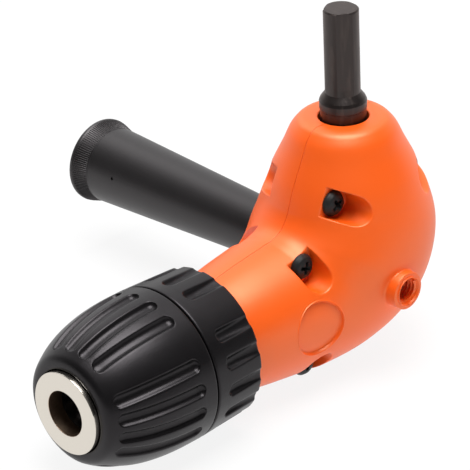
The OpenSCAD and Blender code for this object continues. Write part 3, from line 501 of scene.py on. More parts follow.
def eased(corners, steps=5):
    """A closed outline whose corners are rounded by their third value."""
    made = []
    for index, corner in enumerate(corners):
        here = Vector(corner[:2])
        if corner[2] <= 0:
            made.append(tuple(here))
            continue
        back = Vector(corners[index - 1][:2]) - here
        ahead = Vector(corners[(index + 1) % len(corners)][:2]) - here
        cut = corner[2] / max(0.05, math.tan(back.angle(ahead) / 2))
        cut = min(cut, 0.48 * back.length, 0.48 * ahead.length)
        start, end = here + back.normalized() * cut, here + ahead.normalized() * cut
        for step in range(steps + 1):
            t = step / steps
            made.append(tuple(start * (1 - t) ** 2 + here * (2 * t * (1 - t)) + end * t * t))
    return made


def skinned(rings):
    """Faces between rings of point numbers, the last joined to the first. A pole repeats one number."""
    faces = []
    for ring, after in zip(rings, rings[1:] + rings[:1]):
        for k in range(len(ring)):
            n = (k + 1) % len(ring)
            face = list(dict.fromkeys((ring[k], ring[n], after[n], after[k])))
            if len(face) > 2:
                faces.append(face)
    return faces


def spun(outline, angles, reach=None):
    """Points and faces of an outline of radius and height, turned about the height.

    Angles are in radians, and reach may give another radius for a radius, a height and an angle's number.
    """
    points, rings = [], []
    for radius, height in outline:
        if radius < 1e-6:
            rings.append([len(points)] * len(angles))
            points.append((0, 0, height))
            continue
        rings.append(list(range(len(points), len(points) + len(angles))))
        for k, angle in enumerate(angles):
            r = reach(radius, height, k) if reach else radius
            points.append((r * math.cos(angle), r * math.sin(angle), height))
    return numpy.array(points), skinned(rings)


def even(count):
    """Angles spread evenly over a turn."""
    return [2 * math.pi * k / count for k in range(count)]


def about_chuck(points):
    """Stands a shape made about +Z on the chuck's axis."""
    p = numpy.array(points)
    return numpy.column_stack((p[:, 2], p[:, 0], p[:, 1]))


def about_handle(points):
    """Stands a shape made about +Z on the side handle's axis, which points along -Y."""
    p = numpy.array(points)
    return numpy.column_stack((BOSS_PLACE[0] + p[:, 0], -p[:, 2], BOSS_PLACE[1] + p[:, 1]))


def curve(table, column, at):
    """Smooth curve through a table whose first column is the place."""
    table = numpy.array(table, dtype=float)
    x, y = table[:, 0], table[:, column]
    slope = numpy.empty_like(y)
    slope[1:-1] = (y[2:] - y[:-2]) / (x[2:] - x[:-2])
    slope[0], slope[-1] = (y[1] - y[0]) / (x[1] - x[0]), (y[-1] - y[-2]) / (x[-1] - x[-2])
    i = numpy.clip(numpy.searchsorted(x, at, side="right") - 1, 0, len(x) - 2)
    span = x[i + 1] - x[i]
    t = (at - x[i]) / span
    return ((2 * t**3 - 3 * t**2 + 1) * y[i] + (t**3 - 2 * t**2 + t) * span * slope[i]
            + (3 * t**2 - 2 * t**3) * y[i + 1] + (t**3 - t**2) * span * slope[i + 1])


class Loft:
    """The body's outside on the near half: a run from the bell's top to the nose, and a turn across it."""

    def __init__(self, sizes):
        self.width = sizes.half_width / MM
        self.head = sizes.head_height / MM
        self.nose = sizes.nose_reach / MM
        self.reach = sizes.elbow_reach / MM
        self.height = sizes.elbow_height / MM
        run, turn = numpy.meshgrid(numpy.linspace(0, 3, 220), numpy.linspace(1, 179, 110), indexing="ij")
        self.run, self.turn = run.ravel(), turn.ravel()
        self.flat = self.point(self.run, self.turn)[:, [0, 2]]

    def section(self, run):
        """The stretch, the share along it and the sizes of every kind of section at these runs."""
        part = numpy.minimum(run.astype(int), 2)
        share = run - part
        bell = curve(BELL, 1, share) * self.width
        deep = curve(ELBOW, 1, share) * self.width
        wide = curve(ELBOW, 2, share) * self.width
        away = self.reach + (self.height - self.reach) * share + curve(ELBOW, 3, share) * self.width
        nose = curve(NOSE, 1, share) * self.width
        return part, share, bell, deep, wide, away, nose

    def point(self, run, turn):
        """Points of the outside at these runs and turns."""
        run, turn = numpy.asarray(run, float), numpy.radians(numpy.asarray(turn, float))
        part, share, bell, deep, wide, away, nose = self.section(run)
        c, s = numpy.cos(turn), numpy.sin(turn)
        fan = share * math.pi / 2
        arm = away - deep * c
        in_bell = numpy.column_stack((bell * c, bell * s, self.head - share * (self.head - self.height)))
        in_elbow = numpy.column_stack(
            (self.reach - arm * numpy.cos(fan), wide * s, self.height - arm * numpy.sin(fan)))
        in_nose = numpy.column_stack((self.reach + share * (self.nose - self.reach), nose * s, nose * c))
        beyond = numpy.where((part == 1)[:, None], in_elbow, in_nose)
        return numpy.where((part == 0)[:, None], in_bell, beyond)

    def locate(self, flat):
        """Run and turn of the outside above places in the split plane, found by Newton's steps."""
        flat = numpy.asarray(flat, float)
        nearest = numpy.array([numpy.argmin(((self.flat - p) ** 2).sum(1)) for p in flat])
        run, turn = self.run[nearest].copy(), self.turn[nearest].copy()
        for _ in range(10):
            here = self.point(run, turn)[:, [0, 2]]
            by_run = (self.point(numpy.clip(run + 1e-4, 0, 3), turn)[:, [0, 2]] - here) / 1e-4
            by_turn = (self.point(run, turn + 1e-3)[:, [0, 2]] - here) / 1e-3
            miss = flat - here
            area = by_run[:, 0] * by_turn[:, 1] - by_run[:, 1] * by_turn[:, 0]
            area = numpy.where(numpy.abs(area) < 1e-9, 1e-9, area)
            step_run = (miss[:, 0] * by_turn[:, 1] - miss[:, 1] * by_turn[:, 0]) / area
            step_turn = (by_run[:, 0] * miss[:, 1] - by_run[:, 1] * miss[:, 0]) / area
            run = numpy.clip(run + numpy.clip(step_run, -0.08, 0.08), 0, 2.9999)
            turn = numpy.clip(turn + numpy.clip(step_turn, -8, 8), 0.02, 179.98)
        return run, turn

    def height_over(self, flat):
        """Height of the outside over places in the split plane."""
        run, turn = self.locate(flat)
        return self.point(run, turn)[:, 1]

    def outward(self, run, turn):
        """Unit normals of the outside."""
        low, high = numpy.clip(run - 1e-3, 0, 3), numpy.clip(run + 1e-3, 0, 3)
        along = self.point(high, turn) - self.point(low, turn)
        across = self.point(run, turn + 0.05) - self.point(run, turn - 0.05)
        normal = numpy.cross(across, along)
        normal /= numpy.linalg.norm(normal, axis=1)[:, None]
        return numpy.where((normal[:, 1] < 0)[:, None], -normal, normal)

    def chart(self, run, turn):
        """Run and turn as a flat chart in rough millimetres."""
        along = numpy.interp(run, (0, 1, 2, 3), (0, 17, 57, 77))
        return numpy.column_stack((along, numpy.asarray(turn) * 0.31))


def bezier(a, b, c, count):
    """Rows of points from a over the corner b to c, ends included."""
    return [a * (1 - t) ** 2 + b * (2 * t * (1 - t)) + c * t * t for t in numpy.linspace(0, 1, count)]


def circle(centre, radius, step):
    """Places in the split plane round a centre, a step of degrees apart."""
    angles = numpy.radians(numpy.arange(0, 360, step))
    return numpy.array(centre) + radius * numpy.column_stack((numpy.cos(angles), numpy.sin(angles)))


def lifted(place, height):
    """Points over places in the split plane, at heights from it."""
    return numpy.column_stack((place[:, 0], numpy.broadcast_to(height, len(place)), place[:, 1]))


def pocket_mouth(loft, seat, half):
    """Where a screw pocket's floor runs out of the outside: reach along the pocket by place across it."""
    x, z, direction, floor = seat
    margin, farthest = 0.6, 14
    c, s = math.cos(math.radians(direction)), math.sin(math.radians(direction))
    run = numpy.linspace(0.02, 2.98, 3000)
    _, _, bell, _, wide, _, nose = loft.section(run)
    across = numpy.where(run < 1, bell, numpy.where(run < 2, wide, nose))
    turn = numpy.degrees(numpy.arcsin(numpy.clip(floor / across, 0, 1)))
    best = None
    for side in (turn, 180 - turn):
        flat = loft.point(run, side)[:, [0, 2]]
        along = (flat[:, 0] - x) * c + (flat[:, 1] - z) * s
        beside = -(flat[:, 0] - x) * s + (flat[:, 1] - z) * c
        near = (numpy.abs(beside) < half + margin) & (along > -0.5) & (along < farthest)
        if near.sum() > 5 and (best is None or along[near].mean() < best[0].mean()):
            best = (along[near], beside[near])
    order = numpy.argsort(best[1])
    return lambda b: float(numpy.interp(b, best[1][order], best[0][order]))


def outward_of(flat):
    """Directions in the split plane that point out of a closed outline."""
    tangent = numpy.roll(flat, -1, 0) - flat
    tangent /= numpy.linalg.norm(tangent, axis=1)[:, None]
    tangent = tangent + numpy.roll(tangent, 1, 0)
    tangent /= numpy.linalg.norm(tangent, axis=1)[:, None]
    away = numpy.column_stack((tangent[:, 1], -tangent[:, 0]))
    return -away if ((flat - flat.mean(0)) * away).sum() < 0 else away


def pocket_rows(loft, seat, sizes):
    """The outline of a screw pocket on the outside, and rows of points from there down to its floor."""
    x, z, direction, floor = seat
    half, back = sizes.pocket_width / MM / 2, sizes.pocket_back / MM
    edge, foot, nudge = sizes.edge / MM, 0.55, 0.15
    mouth = pocket_mouth(loft, seat, half)
    lip = [(mouth(b), float(b)) for b in numpy.linspace(half, -half, 19)]
    bends = [math.pi / 2 + math.pi * k / 30 for k in range(31)]
    arc = [(-back + half * math.cos(bend), half * math.sin(bend)) for bend in bends]
    start, end = ([far - (far + back) * k / 14 for k in range(1, 14)] for far in (lip[0][0], lip[-1][0]))
    walls = [(a, half) for a in start] + arc + [(a, -half) for a in reversed(end)]
    local = numpy.array([lip[0], *walls, *lip[:0:-1]])
    on_lip = numpy.array([True] + [False] * len(walls) + [True] * (len(lip) - 1))
    c, s = math.cos(math.radians(direction)), math.sin(math.radians(direction))
    flat = numpy.column_stack((x + local[:, 0] * c - local[:, 1] * s,
                               z + local[:, 0] * s + local[:, 1] * c))
    away = outward_of(flat)
    level = numpy.where(on_lip, floor, numpy.maximum(loft.height_over(flat), floor))
    slope = (loft.height_over(flat + away * nudge) - loft.height_over(flat)) / nudge
    run, turn = loft.locate(flat + away * (edge / numpy.sqrt(1 + slope**2))[:, None])
    first, corner = loft.point(run, turn), lifted(flat, level)
    top, low = (numpy.minimum(size, (level - floor) * 0.45) for size in (edge, foot))
    inner = lifted(flat - away * numpy.maximum(low, 0.12)[:, None], floor)
    side_rows = bezier(first, corner, lifted(flat, level - top), 5)
    side_rows += bezier(lifted(flat, floor + low), lifted(flat, floor), inner, 4)
    lip_rows = bezier(first, corner, lifted(flat - away * edge, floor), len(side_rows))
    rows = [numpy.where(on_lip[:, None], b, a) for a, b in zip(side_rows, lip_rows)]
    return run, turn, rows


def boss_rows(loft, sizes, bore, deep):
    """The foot of a threaded boss on the outside, and rows of points over its face and down its bore."""
    radius, face, foot = sizes.boss_radius / MM, sizes.boss_reach / MM, 0.6
    ring = lambda r: circle(BOSS_PLACE, r, 5)
    run, turn = loft.locate(ring(radius + foot))
    level = loft.height_over(ring(radius))
    rows = bezier(loft.point(run, turn), lifted(ring(radius), level),
                  lifted(ring(radius), level + foot * 0.8), 6)
    step = face - 0.35
    outline = ((radius, step - 0.35), (radius - 0.08, step - 0.1), (radius - 0.3, step),
               (radius - 0.85, step), (radius - 0.98, step + 0.04), (radius - 1.02, face - 0.12),
               (radius - 1.14, face), (bore + 0.45, face), (bore + 0.25, face - 0.08), (bore, face - 0.45),
               (bore, face - 2.0), (bore, deep + 0.4), (bore - 0.4, deep))
    return run, turn, rows + [lifted(ring(r), y) for r, y in outline]


def badge_rows(loft, sizes):
    """The badge's rings on the outside as run, turn and sinking."""
    centre, radius = (sizes.badge_reach / MM, BADGE_RISE), sizes.badge_diameter / MM / 2
    return [(*loft.locate(circle(centre, radius + shift, 4)), sink) for shift, sink in BADGE_RINGS]


def inside(loop, points):
    """Which points lie inside a closed loop."""
    x, y = points[:, 0], points[:, 1]
    hit = numpy.zeros(len(points), bool)
    for (x1, y1), (x2, y2) in zip(loop, numpy.roll(loop, -1, 0)):
        if y1 != y2:
            cross = ((y1 > y) != (y2 > y)) & (x < (x2 - x1) * (y - y1) / (y2 - y1) + x1)
            hit ^= cross
    return hit


def near_loop(loop, points, distance):
    """Which points lie within a distance of a closed loop."""
    close = numpy.zeros(len(points), bool)
    for a, b in zip(loop, numpy.roll(loop, -1, 0)):
        span = b - a
        t = numpy.clip(((points - a) @ span) / max(1e-12, span @ span), 0, 1)
        close |= ((points - a - t[:, None] * span) ** 2).sum(1) < distance**2
    return close


def shell_half(name, side, badge, bore, deep):
    """One moulded half: the smooth outside with its pockets, boss and badge, closed at the split plane."""
    sizes = bpy.context.scene.drill_shell
    loft = Loft(sizes)
    holes = [pocket_rows(loft, seat, sizes) for seat in SCREW_SEATS]
    holes.append(boss_rows(loft, sizes, bore, deep))
    loops = [loft.chart(run, turn) for run, turn, _ in holes]
    rings = badge_rows(loft, sizes) if badge else []

    # A grid over the outside, left open round the pockets, the boss and the badge's rim.
    runs = numpy.unique(numpy.concatenate([numpy.linspace(*part) for part in RUN_STRETCHES]).round(9))
    rim = numpy.array(RIM_TURNS)
    turns = numpy.concatenate((rim, numpy.linspace(3, 177, TURN_COUNT), (180 - rim)[::-1]))
    grid_run, grid_turn = (g.ravel() for g in numpy.meshgrid(runs, turns, indexing="ij"))
    border = (grid_run == 0) | (grid_run == 3) | (grid_turn == 0) | (grid_turn == 180)
    grid = loft.chart(grid_run, grid_turn)
    keep = numpy.ones(len(grid), bool)
    for loop in loops:
        keep &= border | ~(inside(loop, grid) | near_loop(loop, grid, HOLE_CLEARANCE))
    if badge:
        inner_rim = loft.chart(*rings[INNER_RIM][:2])
        keep &= ~near_loop(inner_rim, grid, RIM_CLEARANCE)
    index = numpy.where(keep)[0]
    number = {int(i): k for k, i in enumerate(index)}
    run, turn = list(grid_run[index]), list(grid_turn[index])
    sunk = [float(within) for within in inside(inner_rim, grid[index])] if badge else [0.0] * len(run)

    # The edges that the triangles keep: the grid's four borders and every loop.
    wide, last = len(turns), (len(runs) - 1) * len(turns)
    first = [number[k] for k in range(wide)]
    final = [number[last + k] for k in range(wide)]
    low = [number[k * wide] for k in range(len(runs))]
    high = [number[k * wide + wide - 1] for k in range(len(runs))]
    edges = []
    for one, other in ((first, final), (low, high)):
        for k in range(len(one) - 1):
            edges += [(one[k], one[k + 1]), (other[k], other[k + 1])]
    starts = []
    for loop_run, loop_turn, sink in [(r, t, 0.0) for r, t, _ in holes] + rings:
        start, count = len(run), len(loop_run)
        starts.append(start)
        run += list(loop_run)
        turn += list(loop_turn)
        sunk += [sink] * count
        edges += [(start + k, start + (k + 1) % count) for k in range(count)]
    run, turn, sunk = numpy.array(run), numpy.array(turn), numpy.array(sunk)
    chart = loft.chart(run, turn)
    made = geometry.delaunay_2d_cdt([Vector(p) for p in chart.tolist()], edges, [], 0, 1e-7, True)
    origin = [ids[0] if ids else -1 for ids in made[3]]
    if min(origin) < 0:
        raise RuntimeError(f"{name}: outlines cross on the outside")
    triangles = numpy.array([[origin[i] for i in f] for f in made[2]])
    for loop in loops:
        triangles = triangles[~inside(loop, chart[triangles].mean(1))]

    # The points in space, with the badge sunk and the parting edge rounded.
    points = loft.point(run, turn)
    points -= loft.outward(run, turn) * (sunk * sizes.badge_depth / MM)[:, None]
    ends = numpy.where(turn < 90, 0.0, 180.0)
    inward = loft.point(run, 180 - ends) - loft.point(run, ends)
    inward /= numpy.linalg.norm(inward, axis=1)[:, None]
    round_edge = sizes.parting / MM
    shy = numpy.clip(1 - points[:, 1] / round_edge, 0, 1)
    points += inward * (round_edge * (1 - numpy.sqrt(1 - shy**2)))[:, None]
    points[:, 1] = numpy.maximum(points[:, 1], sizes.parting_gap / MM)

    # The walls and floors of the pockets and the boss, then the three closing faces.
    faces, points = [list(t) for t in triangles], list(points)
    for start, (loop_run, _, rows) in zip(starts, holes):
        count = len(loop_run)
        before = list(range(start, start + count))
        for row in rows[1:]:
            after = list(range(len(points), len(points) + count))
            points += list(row)
            faces += map(list, zip(before, before[1:] + before[:1], after[1:] + after[:1], after))
            before = after
        faces.append(before)
    faces += [first, final, low + high[::-1]]
    points = numpy.array(points)
    points[:, 1] *= side
    return solid(name, points, faces)


def drive_space(name, rooms, along_x):
    """A stepped room for a shaft and its bearing, as a cutter."""
    outline = [(0, rooms[0][1])]
    for radius, start, end in rooms:
        outline += [(radius, start), (radius, end)]
    outline.append((0, rooms[-1][2]))
    points, faces = spun(outline, even(96))
    return solid(name, about_chuck(points) if along_x else points, faces)


def cut_rooms(thing):
    """Opens the collar's hole, the spindle's hole and the rooms between them in a moulded half."""
    carve(thing, drive_space("input room", INPUT_ROOMS, False))
    carve(thing, drive_space("output room", OUTPUT_ROOMS, True))
    tidy(thing.data, 32)
    return thing


def open_tree(name, **sockets):
    """A geometry tree with a shape, the named inputs and a material coming in; gives bench and wires."""
    tree = bpy.data.node_groups.new(name, "GeometryNodeTree")
    for title, kind in {"Geometry": "Geometry", **sockets, "Material": "Material"}.items():
        tree.interface.new_socket(title, in_out="INPUT", socket_type=f"NodeSocket{kind}")
    tree.interface.new_socket("Geometry", in_out="OUTPUT", socket_type="NodeSocketGeometry")
    bench = Bench(tree)
    given = bench.node("NodeGroupInput").socket.node
    return bench, {socket.name: Wire(bench, socket) for socket in given.outputs if socket.name}


def closed_tree(bench, wires, shape, merge=None):
    """Ends a geometry tree: makes the shape real, merges it where asked and paints it."""
    real = bench.node("GeometryNodeRealizeInstances", None, {"Geometry": shape})
    if merge:
        real = bench.node("GeometryNodeMergeByDistance", None, {"Geometry": real, "Distance": merge})
    painted = bench.node("GeometryNodeSetMaterial", None, {"Geometry": real, "Material": wires["Material"]})
    bench.node("NodeGroupOutput", None, {0: painted})
    return bench.tree


def ring_tree(name, axis):
    """A tree that repeats its geometry round an axis, with the count as an input."""
    bench, wires = open_tree(name, Count="Int", Merge="Float")
    spots = bench.node("GeometryNodeMeshLine", {"mode": "OFFSET"},
                       {"Count": wires["Count"], "Offset": (0, 0, 0)})
    angle = 2 * math.pi * bench.node("GeometryNodeInputIndex") / wires["Count"]
    turn = bench.node("ShaderNodeCombineXYZ", None, {axis: angle})
    copies = bench.node("GeometryNodeInstanceOnPoints", None,
                        {"Points": spots, "Instance": wires["Geometry"], "Rotation": turn})
    return closed_tree(bench, wires, copies, wires["Merge"])


def grown(thing, tree, **inputs):
    """Runs a geometry tree on an object with named inputs and keeps the plain mesh."""
    change = thing.modifiers.new(tree.name, "NODES")
    change.node_group = tree
    sockets = [item for item in tree.interface.items_tree if item.in_out == "INPUT"]
    names = {item.name.lower(): item.identifier for item in sockets}
    for name, value in inputs.items():
        change[names[name]] = value
    baked(thing)


def fluted_sector(outline, outer, centres, half_sector, half_width, depth, sides):
    """Points and faces of one sector of a sleeve, with flutes pressed into the first rows of its outline.

    Outer is the count of those rows, and sides the count of columns beside the outermost flutes.
    """
    across, share = zip(*FLUTE_SECTION)
    cells = [-a for a in across[:0:-1]] + list(across)
    last = len(centres)
    points, columns = [], 0
    for index, (radius, x) in enumerate(outline):
        width = half_width(x) if index < outer else 0.0
        spread = max(width, 0.42)
        offsets = [math.degrees(math.asin(min(0.9, t * spread / radius))) for t in cells]
        flutes = [[c + offset for offset in offsets] for c in centres]
        sink = depth(x) if width > 0.01 else 0.0
        sinks = [sink * float(numpy.interp(abs(t) * spread / max(width, 1e-6), across, share))
                 for t in cells[:-1]]
        angles, depths = [], []
        edges = [-half_sector] + [a for f in flutes for a in (f[0], f[-1])] + [half_sector]
        for k in range(last + 1):
            low, high = edges[2 * k], edges[2 * k + 1]
            count = sides if k in (0, last) else 3
            angles += [low + (high - low) * j / count for j in range(count + (k == last))]
            depths += [0.0] * (count + (k == last))
            if k < last:
                angles += flutes[k][:-1]
                depths += sinks
        columns = len(angles)
        points += [((radius - d) * math.cos(math.radians(a)), (radius - d) * math.sin(math.radians(a)), x)
                   for a, d in zip(angles, depths)]
    starts = [row * columns for row in range(len(outline))]
    faces = [[here + k, here + k + 1, after + k + 1, after + k]
             for here, after in zip(starts, starts[1:] + starts[:1]) for k in range(columns - 1)]
    return about_chuck(points), faces


def resampled(path, step, fine=(0, 0, 1)):
    """A profile of radius and place in steps of a length; fine gives two places and the step between."""
    made = [path[0]]
    for start, end in zip(path, path[1:]):
        size = fine[2] if fine[0] < (start[1] + end[1]) / 2 < fine[1] else step
        count = max(1, math.ceil(math.dist(start, end) / size))
        made += [(start[0] + (end[0] - start[0]) * k / count, start[1] + (end[1] - start[1]) * k / count)
                 for k in range(1, count + 1)]
    return made


class OBJECT_OT_shell_halves(bpy.types.Operator):
    """Builds the two moulded halves"""

    bl_idname = "drill.shell_halves"
    bl_label = "Moulded halves"

    def execute(self, context):
        near = cut_rooms(shell_half("shell_near", 1, True, *NEAR_BORE))
        dress(near, "housing", "body_plastic", "housing_near")
        far = cut_rooms(shell_half("shell_far", -1, False, *FAR_BORE))
        dress(far, "housing", "body_plastic", "housing_far")
        return {"FINISHED"}


def rounded_end(share):
    """How far a groove has opened at this share of its half width from its round end."""
    inside_end = min(1.0, max(0.0, share))
    return math.sqrt(1 - (1 - inside_end) ** 2)


def turned(points, degrees):
    """Points turned about the chuck's axis."""
    a = math.radians(degrees)
    p = numpy.array(points)
    return numpy.column_stack((p[:, 0], p[:, 1] * math.cos(a) - p[:, 2] * math.sin(a),
                               p[:, 1] * math.sin(a) + p[:, 2] * math.cos(a)))


def sleeve(name, sector, turn, tree, count):
    """A sleeve from the points and faces of one sector, repeated round the chuck."""
    points, faces = sector
    made = solid(name, turned(points, turn), faces, local=True)
    grown(made, tree, count=count, merge=0.000002, material=finishes()["black_plastic"])
    made.data.transform(Matrix.Translation((0, 0, -GEAR_DROP * MM)))
    tidy(made.data, 40, merge=0.000003)
    return made


def front_sector(sizes):
    """One sector of the front sleeve, which bulges towards its front and has four flutes."""
    big, seam, hollow = sizes.radius / MM, sizes.seam / MM, SLEEVE_INSIDE[-1][0]
    front, lip = (sizes.front - sizes.ring_proud) / MM, sizes.lip_radius / MM
    ring, start = sizes.ring_radius / MM + 0.23, seam + 3.5
    span = (front - start) / (1 - (lip / big) ** BULGE_POWER) ** (1 / BULGE_POWER)
    bulge = lambda x: big * (1 - (max(0.0, x - start) / span) ** BULGE_POWER) ** (1 / BULGE_POWER)
    face = seam + SEAM_HALF_GAP
    edge = eased(((hollow, face, 0), (big, face, 0.5), (big, face + 4, 0)))[1:-1]
    body = [(bulge(x), x) for x in numpy.linspace(face + 0.7, front - 1.3, 90)]
    ends = [seam + reach / MM for reach in (sizes.flute_start, sizes.flute_end)]
    outer = resampled([*edge, *body], 0.34, (ends[0] - 0.2, ends[0] + 1.6, 0.12))
    outer = resampled(outer, 9, (ends[1] - 1.6, ends[1] + 0.2, 0.12))
    rounding = [numpy.array(p) for p in (body[-1], (lip + 0.15, front), (ring + 0.5, front))]
    tip = [tuple(p) for p in bezier(*rounding, 12)[1:]]
    tip += [(ring + 0.12, front - 0.02), (ring + 0.03, front - 0.08), (ring, front - 0.2)]
    inner = [(ring, SLEEVE_INSIDE[0][1]), *SLEEVE_INSIDE, (hollow, face)]
    half, deep = sizes.flute_width / MM / 2, sizes.flute_depth / MM
    places = [p[1] for p in outer]
    walked = numpy.concatenate(((0,), numpy.cumsum([math.dist(p, q) for p, q in zip(outer, outer[1:])])))
    along = lambda x: float(numpy.interp(x, places, walked))
    first, last = (along(x) for x in ends)

    def opened(x, front_share):
        return rounded_end(min(along(x) - first, (last - along(x)) * front_share) / half)

    return fluted_sector(outer + tip + inner, len(outer), FLUTES, 180 / sizes.flute_groups,
                         lambda x: half * opened(x, 1), lambda x: deep * opened(x, 0.6), 10)


def rear_sector(sizes):
    """One sector of the rear sleeve with five grooves that run out at its free edge."""
    big, seam = sizes.radius / MM, sizes.seam / MM
    rear, rear_big, shut = sizes.rear / MM, sizes.rear_radius / MM, seam - SEAM_HALF_GAP
    mouth, seat, step = 15.1, 14.32, 48.8
    edge = eased(((mouth, rear, 0.15), (rear_big, rear, 0.5), (big - 0.02, shut, 0.5), (seat, shut, 0),
                  (seat, step, 0), (mouth, step, 0)))
    first = next(i for i, p in enumerate(edge) if p[0] > rear_big - 0.6)
    last = max(i for i, p in enumerate(edge) if p[0] > big - 0.6)
    outer = resampled(edge[first:last + 1], 0.4)
    fine = []
    for p, q in zip(outer, outer[1:]):
        fine.append(p)
        if GROOVE_END_BAND[0] < p[1] < GROOVE_END_BAND[1] and q[1] - p[1] > 0.2:
            fine += [(p[0] + (q[0] - p[0]) * k / 3, p[1] + (q[1] - p[1]) * k / 3) for k in (1, 2)]
    outer = fine + [outer[-1]]
    wide, low = sizes.groove_width / MM / 2, sizes.groove_depth / MM
    stop = seam - sizes.groove_stop / MM
    opened = lambda x: rounded_end((stop - x) / wide)
    fade = lambda x: min(1.0, max(0.0, (x - rear) / 7.0)) ** 0.7
    outline = outer + edge[last + 1:] + edge[:first]
    return fluted_sector(outline, len(outer), GROOVES, 180 / sizes.groove_groups,
                         lambda x: wide * opened(x), lambda x: low * opened(x) * (0.3 + 0.7 * fade(x)), 12)


class OBJECT_OT_sleeves(bpy.types.Operator):
    """Builds the fluted front sleeve and the grooved rear sleeve"""

    bl_idname = "drill.sleeves"
    bl_label = "Gripping sleeves"

    def execute(self, context):
        sizes = context.scene.drill_chuck
        tree = ring_tree("Sectors round the chuck", "X")
        front = sleeve("sleeve_front", front_sector(sizes), FRONT_TURN, tree, sizes.flute_groups)
        dress(front, "chuck_sleeve", "black_plastic", "front_sleeve")
        rear = sleeve("sleeve_rear", rear_sector(sizes), REAR_TURN, tree, sizes.groove_groups)
        dress(rear, "output_drive", "black_plastic", "rear_sleeve")
        return {"FINISHED"}


class OBJECT_OT_nose_ring(bpy.types.Operator):
    """Builds the bright nose ring"""

    bl_idname = "drill.nose_ring"
    bl_label = "Nose ring"

    def execute(self, context):
        sizes = context.scene.drill_chuck
        ring, bore, front = sizes.ring_radius / MM, sizes.bit_radius / MM, sizes.front / MM
        plate, rear, neck = front - sizes.ring_plate / MM, sizes.ring_rear / MM, 7.62
        outline = eased(((bore, plate, 0), (neck, plate, 0), (neck, rear, 0), (ring, rear, 0.1),
                         (ring, front, 0.14), (bore, front, 0.16)), 6)
        points, faces = spun(outline, even(224))
        made = solid("nose_ring_bright", about_chuck(points), faces, crease=28)
        dress(made, "output_drive", "nose_steel", "nose_ring")
        return {"FINISHED"}


class OBJECT_OT_handle(bpy.types.Operator):
    """Builds the side handle's grip with the flange that carries its knurl"""

    bl_idname = "drill.handle"
    bl_label = "Side handle"

    def execute(self, context):
        sizes = context.scene.drill_handle
        start, end = sizes.start / MM, (sizes.start + sizes.grip) / MM
        small, big = sizes.inner_radius / MM, sizes.outer_radius / MM
        flange, rim, skin = sizes.flange_radius / MM, sizes.flange_rim / MM, 0.2
        collar, bore, lip = end - sizes.flange_width / MM, big - 2.4, start - sizes.skirt / MM
        stud, stud_end, core_end = 3.02, start + 20.02, start + 22.6
        outline = eased(((stud, start, 0), (small - 0.45, start, 0), (small - 0.45, lip, 0.1),
                         (small, lip, 0.15), (small + 0.03, start + 1, 0), (big, collar - 0.3, 0.15),
                         (big - 0.12, collar - 0.12, 0.08), (big - 0.12, collar + 0.2, 0.08),
                         (flange - skin, end - rim - 0.25, 0), (flange, end - rim + 0.05, 0.15),
                         (flange - 0.1, end, 0.95), (bore, end, 0.7), (bore, collar, 0.3),
                         (4.2, core_end, 0.3), (0, core_end, 0), (0, stud_end, 0), (stud, stud_end, 0)), 6)
        points, faces = spun(outline, even(160))
        grip = solid("handle_body", about_handle(points), faces)
        dot, place = sizes.dot_radius / MM, sizes.dot_place / MM
        points, faces = spun([(0, -0.3), (dot, -0.3), (dot, 1), (0, 1)], even(20))
        dot_turn, surface = math.radians(15), big - 0.35
        c, s = math.cos(dot_turn), math.sin(dot_turn)
        drill = [((surface + z) * c - x * s, (surface + z) * s + x * c, place + y) for x, y, z in points]
        carve(grip, solid("dot", about_handle(drill), faces))
        tidy(grip.data, 35)
        dress(grip, "side_handle", "grip_plastic", "handle_grip")
        return {"FINISHED"}


class OBJECT_OT_knurl(bpy.types.Operator):
    """Builds the fine ridges round the handle's flange"""

    bl_idname = "drill.knurl"
    bl_label = "Handle knurl"

    def execute(self, context):
        sizes = context.scene.drill_handle
        end = (sizes.start + sizes.grip) / MM
        flange, big = sizes.flange_radius / MM, sizes.outer_radius / MM
        low, high = end - sizes.flange_width / MM + 0.1, end - sizes.flange_rim / MM - 0.1
        cone = lambda place: big + (flange - big) * (place - low) / (high - low)
        half = math.pi * big / sizes.knurl_count * 0.56
        rib = []
        for place, rise in ((low, -0.3), (low + 0.22, 0.0), (high - 0.22, 0.0), (high, -0.3)):
            for across, drop in RIDGE_SECTION:
                rib.append((cone(place) + rise - drop * (1 if rise == 0 else 0.4), across * half, place))
        faces = [[row + k, row + k + 1, row + k + 6, row + k + 5] for row in (0, 5, 10) for k in range(4)]
        faces += [[0, 1, 2, 3, 4], [19, 18, 17, 16, 15], [0, 4, 9, 5], [5, 9, 14, 10], [10, 14, 19, 15]]
        ridge = solid("handle_knurl", rib, faces, local=True)
        grown(ridge, ring_tree("Ridges round the handle", "Z"), count=sizes.knurl_count, merge=0.0,
              material=finishes()["grip_plastic"])
        moved(ridge, about_handle)
        tidy(ridge.data, 50, 0)
        dress(ridge, "side_handle", "grip_plastic")
        return {"FINISHED"}


